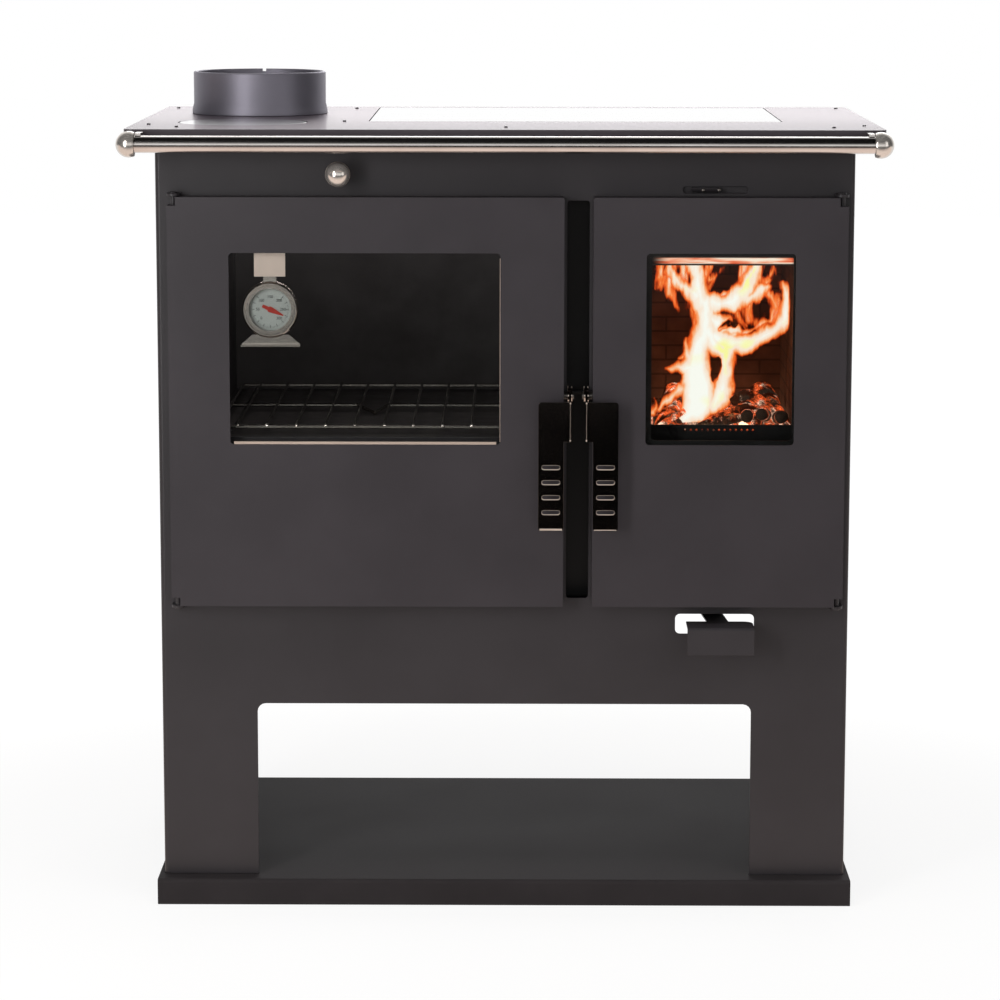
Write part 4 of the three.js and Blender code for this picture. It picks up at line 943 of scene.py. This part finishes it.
# %% Numbers on the dial
def number(text, x, z, size):
    words = bpy.data.curves.new("number_" + text, "FONT")
    words.body = text
    words.size = size
    words.extrude = 0.0001
    words.align_x = "CENTER"
    words.align_y = "CENTER"
    source = placed("number_" + text, words)
    mesh = frozen(source)
    bpy.data.objects.remove(source)
    shape = bmesh.new()
    shape.from_mesh(mesh)
    bmesh.ops.remove_doubles(shape, verts=shape.verts, dist=1e-7)
    shape.to_mesh(mesh)
    shape.free()
    mesh.transform(upright(centre.x + x, print_y, centre.z + z, 90))
    mesh.materials.clear()
    mesh.materials.append(print_black.material)
    piece = placed("dial_number_" + text, mesh)
    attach(piece, "oven_door")


circle, figure = 0.0132, 0.0042
for step in range(7):
    angle = math.radians(225 - 45 * step)
    number(str(50 * step), circle * math.cos(angle), circle * math.sin(angle), figure)
print("numbers 0 to 300")

# %% [markdown]
# ## The fire
# Logs first, as tapering rods whose skin is pushed in and out by noise, then a bed of ash with
# embers strewn over it, then the flames. A log that has burned for a while is black with pale ash
# on it and cracks into small blocks. The cracks are the edges of a Voronoi texture, bent by noise.

# %% Charred wood, ember and flame
bark = Finish("charred_bark", Specular_IOR_Level=0.2)
wavy = bark.node("ShaderNodeMix", {"data_type": "VECTOR"}, 0.06, bark.stretched(1, 1, 1.6),
                 bark.node("ShaderNodeTexNoise", {}, bark.place(), Scale=90.0, output=1))
cells = bark.node("ShaderNodeTexVoronoi", {"feature": "DISTANCE_TO_EDGE"}, wavy, Scale=190)
crack = bark.between(cells, 0.0, 0.16)
ash = bark.between(bark.cloud(34, detail=6, rough=0.7), 0.5, 0.7)
char = bark.mix(ash, display(30, 24, 21), display(150, 132, 118))
bark.wear(Base_Color=bark.mix(crack, display(10, 8, 8), char), Roughness=0.9)
glowing = bark.mix(bark.between(bark.cloud(70), 0.5, 0.62), (1.0, 0.13, 0.03, 1), (1.0, 0.6, 0.42, 1))
heat = bark.between(bark.cloud(30, detail=5, rough=0.7), 0.47, 0.62) * (1.25 - crack) * 0.8 + 0.01
bark.wear(Emission_Color=bark.mix(heat, (0, 0, 0, 1), glowing), Emission_Strength=2.1)
bark.relief(crack * 0.7 + ash * 0.3, 0.0015)

log_end = Finish("log_end", Roughness=0.9)
year_rings = {"wave_type": "RINGS", "rings_direction": "Y"}
rings = log_end.node("ShaderNodeTexWave", year_rings, Scale=160, Distortion=3)
log_end.wear(Base_Color=log_end.mix(rings, display(30, 22, 18), display(88, 62, 44)))

ember = Finish("ember", Roughness=0.95)
over_guard = ember.between(ember.along("Z"), 0.506, 0.511)
behind_guard = ember.between(ember.along("Y"), -0.12, -0.11)
live = ember.between(ember.cloud(75, detail=5, rough=0.65), 0.3, 0.46) * over_guard.most(behind_guard)
ember.wear(Base_Color=ember.mix(live, display(70, 62, 58), display(30, 20, 16)))
glowing = ember.colours(live, (0.1, (0.9, 0.06, 0.01, 1)), (0.6, (1.0, 0.24, 0.06, 1)),
                        (1.0, (1.0, 0.7, 0.45, 1)))
ember.wear(Emission_Color=ember.mix(live, (0, 0, 0, 1), glowing), Emission_Strength=2.2)
ember.relief(ember.cloud(300, detail=4), 0.001)

flame = Finish("flame", Roughness=1.0)
inside = flame.node("ShaderNodeAttribute", {"attribute_name": "inside"}, output="Fac")
lick = flame.cloud(120, detail=5, where=flame.stretched(1, 1, 0.2))
torn = 0.5 + 0.7 * flame.between(flame.along("Z"), 0.57, 0.68)
hot = inside + (lick - 0.5) * torn
colour = flame.colours(hot, (0.03, (0.34, 0.008, 0.001, 1)), (0.12, (0.95, 0.09, 0.01, 1)),
                       (0.22, (1.0, 0.22, 0.04, 1)), (0.34, (1.0, 0.5, 0.26, 1)),
                       (0.48, (1.0, 0.8, 0.64, 1)), (0.85, (1.0, 1.0, 0.93, 1)))
yellow = flame.between(flame.cloud(16, detail=2), 0.5, 0.62) * flame.between(hot, 0.5, 0.7) * 0.85
colour = flame.mix(yellow, colour, (1.0, 0.98, 0.3, 1))
blaze = flame.node("ShaderNodeEmission", {}, colour, 1.05)
air = flame.node("ShaderNodeBsdfTransparent", {})
solid = flame.between(hot, 0.03, 0.32)
flame.surface(flame.node("ShaderNodeMixShader", {}, solid, air, blaze))
print("fire finishes ready")

# %% [markdown]
# Two heavy logs lie across the firebox and two lighter ones along it, with branches, a stub, a
# twig and three sticks on them. A log is a rod along a smooth curve through a few points. Its
# rings of corners are moved out and in by fractal noise from a fixed start, so that no two logs
# are alike and each is the same on every run. Sculpting them by hand couldn't be told in numbers.

# %% Logs
def through(path, k, t):
    """The point and radius at share t of step k, on a smooth curve through the path."""
    a, b, c, d = (Vector(path[min(max(k + j, 0), len(path) - 1)][:4]) for j in (-1, 0, 1, 2))
    v = b + 0.5 * t * (c - a + t * (2 * a - 5 * b + 4 * c - d + t * (3 * (b - c) + d - a)))
    return Vector(v[:3]) / 1000, v[3] / 1000


def fire_piece(name, shape, *looks):
    piece = piece_from(name, shape, *looks)
    piece.data.shade_smooth()
    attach(piece, "stove")
    return piece


def log(name, path, seed, rough, around=40, along=34):
    """A closed rod through (x, y, z, radius) points in millimetres, with a noisy skin and cut ends."""
    glance = 0.02
    shape = bmesh.new()
    drift = Vector((seed * 3.1, seed * 1.7, seed * 0.9))
    rows = []
    for j in range(along + 1):
        t = j / along * (len(path) - 1)
        k = min(int(t), len(path) - 2)
        share = t - k
        spot, reach = through(path, k, share)
        ahead, _ = through(path, k, share + glance) if share < 1 - glance else (spot, 0)
        back, _ = through(path, k, max(share - glance, 0.0))
        heading = (ahead - back).normalized()
        side = heading.cross(Vector((0, 0, 1))).normalized()
        top = side.cross(heading)
        ring_row = []
        for i in range(around):
            a = 2 * math.pi * i / around
            out = side * math.cos(a) + top * math.sin(a)
            lump = noise.fractal(out * 1.3 + drift + spot * 30, 0.6, 2.1, 4)
            ring_row.append(shape.verts.new(spot + out * reach * (1 + rough * lump)))
        rows.append(ring_row)
    skin(shape, rows)
    for row in (rows[0], rows[-1]):
        shape.faces.new(row).material_index = 1
    fire_piece(name, shape, bark, log_end)


# x, y, z and radius in millimetres
logs = {
    "log_back": [(158, 92, 486, 22), (230, 100, 489, 25), (304, 96, 488, 21)],
    "log_middle": [(168, 28, 486, 20), (228, 34, 492, 23), (300, 20, 488, 20)],
    "log_left": [(160, -96, 478, 14), (178, -30, 488, 16), (190, 60, 520, 14)],
    "log_right": [(292, -98, 476, 15), (300, -20, 492, 16), (286, 70, 520, 14)],
    "log_arched": [(246, -70, 527, 5), (262, -72, 536, 6), (284, -74, 523, 6), (300, -76, 498, 5)],
    "log_dark": [(188, -100, 489, 8), (214, -98, 502, 8), (243, -96, 517, 8), (264, -90, 522, 7)],
    "log_stub": [(236, -112, 513, 5), (250, -104, 515, 5.5), (262, -98, 508, 5)],
    "twig": [(156, -112, 498, 3.4), (176, -96, 511, 3.8), (194, -90, 521, 3)],
    "stick_1": [(258, -140, 522, 6.8), (262, -90, 516, 7), (266, -30, 508, 7)],
    "stick_2": [(274, -141, 524, 6.6), (280, -90, 517, 7), (290, -34, 506, 7)],
    "stick_3": [(295, -139, 521, 6.9), (296, -90, 514, 7), (292, -36, 506, 7)],
}
smoother = {"log_stub", "twig", "stick_1", "stick_2", "stick_3"}
for seed, (name, path) in enumerate(logs.items()):
    log(name, path, seed + 1, 0.08 if name in smoother else 0.16)
print("logs", len(logs))

# %% [markdown]
# Ash fills the bottom of the firebox and is heaped up behind the log guard. It is a closed slab
# whose upper side follows a height worked out from x and y, which keeps it clear of the walls.
# The lumps of ember are round stones a few millimetres across, strewn over its upper faces by
# Geometry Nodes, each with its own size and turn from a fixed seed.

# %% The bed of ash and the embers on it
def heap(x, y):
    """The height of the ash at a place, all in millimetres."""
    lumps = 9 * noise.fractal(Vector((x, y, 0)) * 0.03, 0.7, 2.0, 4)
    front = 30 * math.exp(-((y + 132) / 22) ** 2)
    side = min((x - 141) / 12, (314 - x) / 12, (y + 147) / 6, (172 - y) / 20, 1.0)
    return 458 + max(0.0, side) * (18 + front + lumps)


left, right, front, rear = 141.5, 314.5, -146.5, 171.5
nx, ny = 58, 96
underside = 0.4574
shape = bmesh.new()
grid = []
for j in range(ny + 1):
    y = front + (rear - front) * j / ny
    grid.append([])
    for i in range(nx + 1):
        x = left + (right - left) * i / nx
        heights = (heap(x, y) / 1000, underside)
        grid[j].append([shape.verts.new((x / 1000, y / 1000, z)) for z in heights])
for j in range(ny):
    for i in range(nx):
        a, b, c, d = grid[j][i], grid[j][i + 1], grid[j + 1][i + 1], grid[j + 1][i]
        shape.faces.new((a[0], b[0], c[0], d[0]))
        shape.faces.new((d[1], c[1], b[1], a[1]))
border = [grid[0][i] for i in range(nx)] + [grid[j][nx] for j in range(ny)]
border += [grid[ny][i] for i in range(nx, 0, -1)] + [grid[j][0] for j in range(ny, 0, -1)]
for a, b in zip(border, border[1:] + border[:1]):
    shape.faces.new((a[0], a[1], b[1], b[0]))
bed = fire_piece("ash_bed", shape, ember)
strewn = Recipe("embers", density=26000.0, small=0.0018, large=0.0052, seed=7)
more_than = {"data_type": "FLOAT", "operation": "GREATER_THAN"}
facing_up = strewn.split(strewn.node("GeometryNodeInputNormal", {}), "Z")
upper = strewn.node("FunctionNodeCompare", more_than, facing_up, 0.5)
strew = strewn.node("GeometryNodeDistributePointsOnFaces", {}, strewn.given("Geometry"), upper,
                    Density=strewn.given("density"), Seed=strewn.given("seed"))
lump = strewn.node("GeometryNodeMeshIcoSphere", {}, Radius=1.0, Subdivisions=2)
size = strewn.node("FunctionNodeRandomValue", {"data_type": "FLOAT"}, Min=strewn.given("small"),
                   Max=strewn.given("large"), Seed=strewn.given("seed"))
any_turn = strewn.node("FunctionNodeRandomValue", {"data_type": "FLOAT_VECTOR"}, Min=(0, 0, 0),
                       Max=(6.28, 6.28, 6.28), Seed=strewn.given("seed"))
spread = strewn.node("GeometryNodeInstanceOnPoints", {}, strew, Instance=lump, Rotation=any_turn,
                     Scale=size)
strewn.ends(spread, ember)
strewn.bake("embers", bed.data.copy(), "stove", "cast_iron")

# %% [markdown]
# Flames are hot gas, white where the eye looks through most of it and orange at the rim. They are
# drawn with tapering strokes, as with a brush: each is a row of places with half its width there.
# The licks are the body of the fire, the wisps are its thin ends, and the holes are left clear.
# A smoke simulation would move better, but it can't be aimed at the flames of one photograph.

# %% The strokes of the fire, as (x, z, half width) in millimetres
licks = {
    "core": [(197, 502, 10), (212, 517, 18), (212, 539, 19.5), (209, 562, 16), (213, 582, 13),
             (218, 600, 11.5), (219, 618, 11.5), (218, 632, 12.5)],
    "crown": [(216, 631, 12.5), (211, 646, 12), (208, 662, 9.5), (207, 676, 8.5), (208, 694, 6.5)],
    "left_arm": [(209, 638, 9.0), (197, 646, 7.2), (187, 656, 5.8), (181, 667, 4.4), (179, 680, 3.0)],
    "wedge": [(202, 562, 11.0), (191, 559, 6.6), (179, 559, 0.9)],
    "horn": [(202, 567, 6.5), (197, 579, 3.4), (199, 591, 0.8)],
    "second": [(231, 519, 11), (238, 533, 11.5), (242, 553, 7.5), (243, 571, 8.2), (243, 585, 9.4)],
    "join": [(221, 600, 11.5), (230, 584, 11.5), (239, 580, 9.6)],
    "web": [(226, 612, 9.5), (238, 606, 9.5), (250, 603, 7.0), (256, 600, 5)],
    "branch": [(227, 630, 11.5), (241, 630, 10.6), (253, 635, 10.4), (263, 646, 10.8), (269, 659, 9.4),
               (274, 675, 7.2), (277, 692, 5)],
    "branch_tip": [(265, 635, 7.6), (276, 643, 5.6), (289, 649, 2.2)],
    "bough": [(230, 593, 11), (248, 587, 11.6), (265, 587, 10.4), (280, 593, 9.2), (294, 602, 9),
              (305, 611, 9.4), (309, 624, 8.6), (308, 638, 6.4), (303, 653, 2)],
    "spur": [(250, 597, 5.3), (249, 608, 0.9)],
    "peak": [(277, 593, 6.5), (282, 607, 1.2)],
    "foot_left": [(170, 515, 2.1), (182, 527, 4.4), (194, 536, 5.0)],
    "foot_far": [(164, 508, 3.8), (166, 520, 2.1), (164, 526, 0.4)],
}
wisps = {
    "wisp_1": [(169, 641, 0.4), (171, 657, 2.9), (170, 674, 2.6), (171, 694, 1)],
    "wisp_2": [(190, 617, 0.4), (182, 635, 5.0), (178, 650, 5.9), (184, 665, 5.3), (189, 680, 4.5),
               (190, 696, 3)],
    "wisp_3": [(196, 649, 5.9), (199, 665, 5.3), (197, 694, 3.8)],
    "wisp_4": [(217, 650, 4.4), (223, 665, 3.5), (225, 680, 0.7)],
    "wisp_5": [(226, 649, 5.3), (233, 657, 3.2), (238, 661, 0.6)],
    "wisp_6": [(263, 653, 7.4), (264, 665, 6.8), (263, 694, 5.3)],
    "wisp_7": [(268, 596, 0.6), (259, 606, 3.5), (256, 616, 2.4)],
    "loop": [(272, 603, 3.8), (269, 621, 4.4), (273, 631, 5.0), (284, 638, 5.0), (294, 632, 5.0),
             (300, 618, 5.0), (295, 603, 3.8)],
    "tip": [(286, 646, 3.8), (294, 657, 2.4), (296, 665, 0.4)],
    "left_rim": [(204, 632, 3.5), (207, 612, 2.9), (207, 594, 3.2), (203, 581, 2.4)],
    "red_foot": [(249, 565, 3.2), (248, 550, 3.5), (247, 535, 2.7)],
}
holes = {
    "eye": [(236, 604, 2.1), (244, 607, 2.9), (250, 610, 1.2)],
    "slit": [(236, 569, 1.2), (234, 559, 2.9), (231, 549, 2.1)],
    "dot": [(281, 616, 2.7), (283, 615, 2.7)],
}
print("strokes", len(licks), "wisps", len(wisps), "holes", len(holes))

# %% [markdown]
# A flame is shown on a thin closed sheet. At every point of it the script works out how far inside
# the strokes that point lies, with the place bent a little by noise, as rising gas bends. The
# number is kept on the mesh under the name `inside`, and the finish turns it into colour and
# clearness. Faces that are wholly outside aren't made.

# %% A sheet of flame
def rounded(strokes, steps=4):
    """Each stroke as short straight steps on a smooth curve, with the box that it lies in."""
    result = []
    for path in strokes.values():
        threaded = [(x, 0.0, z, r) for x, z, r in path]
        fine = []
        for k in range(len(path) - 1):
            for j in range(steps + (k == len(path) - 2)):
                spot, reach = through(threaded, k, j / steps)
                fine.append((spot.x * 1000, spot.z * 1000, max(0.2, reach * 1000)))
        edge = max(r for _, _, r in fine) + 3
        xs = [p[0] for p in fine]
        zs = [p[1] for p in fine]
        result.append((fine, min(xs) - edge, max(xs) + edge, min(zs) - edge, max(zs) + edge))
    return result


licks, wisps, holes = rounded(licks), rounded(wisps), rounded(holes)


def within(x, z, strokes):
    """How far inside the nearest stroke a point is, in millimetres. Outside it is negative."""
    best = -99.0
    for path, x0, x1, z0, z1 in strokes:
        if not (x0 < x < x1 and z0 < z < z1):
            continue
        for (ax, az, ar), (bx, bz, br) in zip(path, path[1:]):
            dx, dz = bx - ax, bz - az
            share = ((x - ax) * dx + (z - az) * dz) / (dx * dx + dz * dz)
            share = min(1.0, max(0.0, share))
            reach = ar + share * (br - ar)
            best = max(best, reach - math.hypot(x - ax - share * dx, z - az - share * dz))
    return best


fire_left, fire_right, fire_foot, fire_top = 143, 313, 498, 697
sheet_thickness = 0.4


def flame_sheet(name, y, shift, parts, seed, thin=0.0):
    """A closed sheet with the attribute `inside`, from 0 at the rim to 1 in the white. One face is
    a millimetre square."""
    columns = [float(x) for x in range(fire_left, fire_right + 1)]
    levels = [float(z) for z in range(fire_foot, fire_top + 1)]
    values = {}
    for j, z in enumerate(levels):
        for i, x in enumerate(columns):
            spot = Vector((x * 0.045, seed * 7.0, z * 0.022))
            bend = 3.2 * noise.noise(spot) + 2.6 * noise.noise(spot * 3.1) + 1.1 * noise.noise(spot * 7.7)
            px, pz = x - shift + bend, z + 4.0 * noise.noise(spot * 2.3 + Vector((5, 5, 5)))
            amount = -1.0
            if "licks" in parts:
                amount = within(px, pz, licks) * 0.062 + 0.17 - thin
            if "wisps" in parts:
                amount = max(amount, min(0.3, within(px, pz, wisps) * 0.036 + 0.12))
            amount -= max(0.0, within(px, pz, holes) * 0.2 + 0.5)
            side = min((x - fire_left) / 4, (fire_right - x) / 4, 1.0)
            values[i, j] = max(0.0, min(1.0, amount)) * side
    shape = bmesh.new()
    layer = shape.verts.layers.float.new("inside")
    sheets = []
    for depth in (y, y + sheet_thickness):
        grid = {}
        for (i, j), value in values.items():
            bow = 5 * math.sin(levels[j] * 0.04 + seed) + 3 * math.sin(columns[i] * 0.06 + seed)
            grid[i, j] = shape.verts.new((columns[i] / 1000, (depth + bow) / 1000, levels[j] / 1000))
            grid[i, j][layer] = value
        sheets.append(grid)
    front, back = sheets
    kept = set()
    for j in range(len(levels) - 1):
        for i in range(len(columns) - 1):
            corners = [(i, j), (i + 1, j), (i + 1, j + 1), (i, j + 1)]
            if max(values[c] for c in corners) > 0.0:
                kept.add((i, j))
                shape.faces.new([front[c] for c in corners])
                shape.faces.new([back[c] for c in reversed(corners)])
    for i, j in kept:
        for (di, dj), a, b in (((0, -1), (i, j), (i + 1, j)), ((1, 0), (i + 1, j), (i + 1, j + 1)),
                               ((0, 1), (i + 1, j + 1), (i, j + 1)), ((-1, 0), (i, j + 1), (i, j))):
            if (i + di, j + dj) not in kept:
                shape.faces.new((front[b], front[a], back[a], back[b]))
    loose = [v for v in shape.verts if not v.link_faces]
    bmesh.ops.delete(shape, geom=loose, context="VERTS")
    piece = fire_piece(name, shape, flame)
    print(name, len(piece.data.polygons), "faces")


# %% [markdown]
# Three sheets stand one behind the other, so that the fire has some depth from the side: the body
# of the fire in front, its wisps behind, and both again, fainter, at the back. Each has its own
# seed and is bowed a little, so they don't repeat each other.

# %% The flames
flame_sheet("flame_front", -22, 0, "licks", 1)
flame_sheet("flame_middle", 8, 1.5, "wisps", 2)
flame_sheet("flame_back", 62, 2, "licks wisps", 3, thin=0.45)

# %% [markdown]
# Above the fire window a strip of steel turns the incoming air down over the glass. Its polished
# lip mirrors the whole fire as one streak, from pink to nearly white. The sheets of flame are too
# thin to be mirrored well from above, so the streak is given to the lip as a glow of its own.

# %% The air wash strip
washed = Finish("air_wash_lip", Metallic=1.0, Roughness=0.3, Base_Color=display(70, 60, 56))
streaks = washed.cloud(26, detail=4, where=washed.stretched(1, 1, 12))
sideways, upwards = washed.along("X"), washed.along("Z")
mirror = washed.between(upwards, 0.6872, 0.6885) * washed.between(upwards, 0.6944, 0.6932)
mirror = mirror * washed.between(sideways, 0.155, 0.175) * washed.between(sideways, 0.306, 0.300)
glowing = washed.colours(streaks, (0.38, (0.85, 0.12, 0.04, 1)), (0.5, (1.0, 0.45, 0.28, 1)),
                         (0.62, (1.0, 0.86, 0.7, 1)))
washed.wear(Emission_Color=washed.mix(mirror, (0, 0, 0, 1), glowing), Emission_Strength=1.0)
strip = [(0.0, 0.7275), (-0.0012, 0.7275), (-0.0012, 0.6895), (-0.0018, 0.6882),
         (-0.0032, 0.6872), (-0.0032, 0.686), (-0.0014, 0.6868), (0.0, 0.6886)]
strip_rear = -0.1690
shape = bmesh.new()
ends = [[shape.verts.new((x, strip_rear + y, z)) for y, z in strip] for x in (0.150, 0.308)]
skin(shape, ends)
shape.faces.new(ends[0])
shape.faces.new(ends[1][::-1])
wash = fire_piece("air_wash_strip", shape, washed)
wash.data.shade_flat()
print("air wash strip", len(wash.data.polygons), "faces")

# %% [markdown]
# Light from the fire itself: a small warm lamp in the middle of the flames and one by the embers.
# They have no body and don't show. Without them the bricks would stay black behind the glass. A
# faint strip of light at the top of the oven's mouth does the same for the oven, which would
# otherwise be a black hole behind its window.

# %% Firelight
def firelight(name, place, watts, size):
    lamp = bpy.data.lights.new(name, "POINT")
    lamp.energy = watts
    lamp.color = (1.0, 0.5, 0.2)
    lamp.shadow_soft_size = size
    holder = placed(name, lamp)
    holder.location = place
    holder.visible_camera = False
    holder.visible_transmission = False
    holder.visible_glossy = False


softbox("oven_glow_back", (-0.146, -0.165, 0.722), (-0.146, 0.1, 0.6), (0.30, 0.02), 0.5, (1.0, 0.95, 0.95))
firelight("firelight_flames", (0.222, -0.01, 0.6), 0.24, 0.03)
firelight("firelight_embers", (0.24, -0.1, 0.545), 0.12, 0.02)
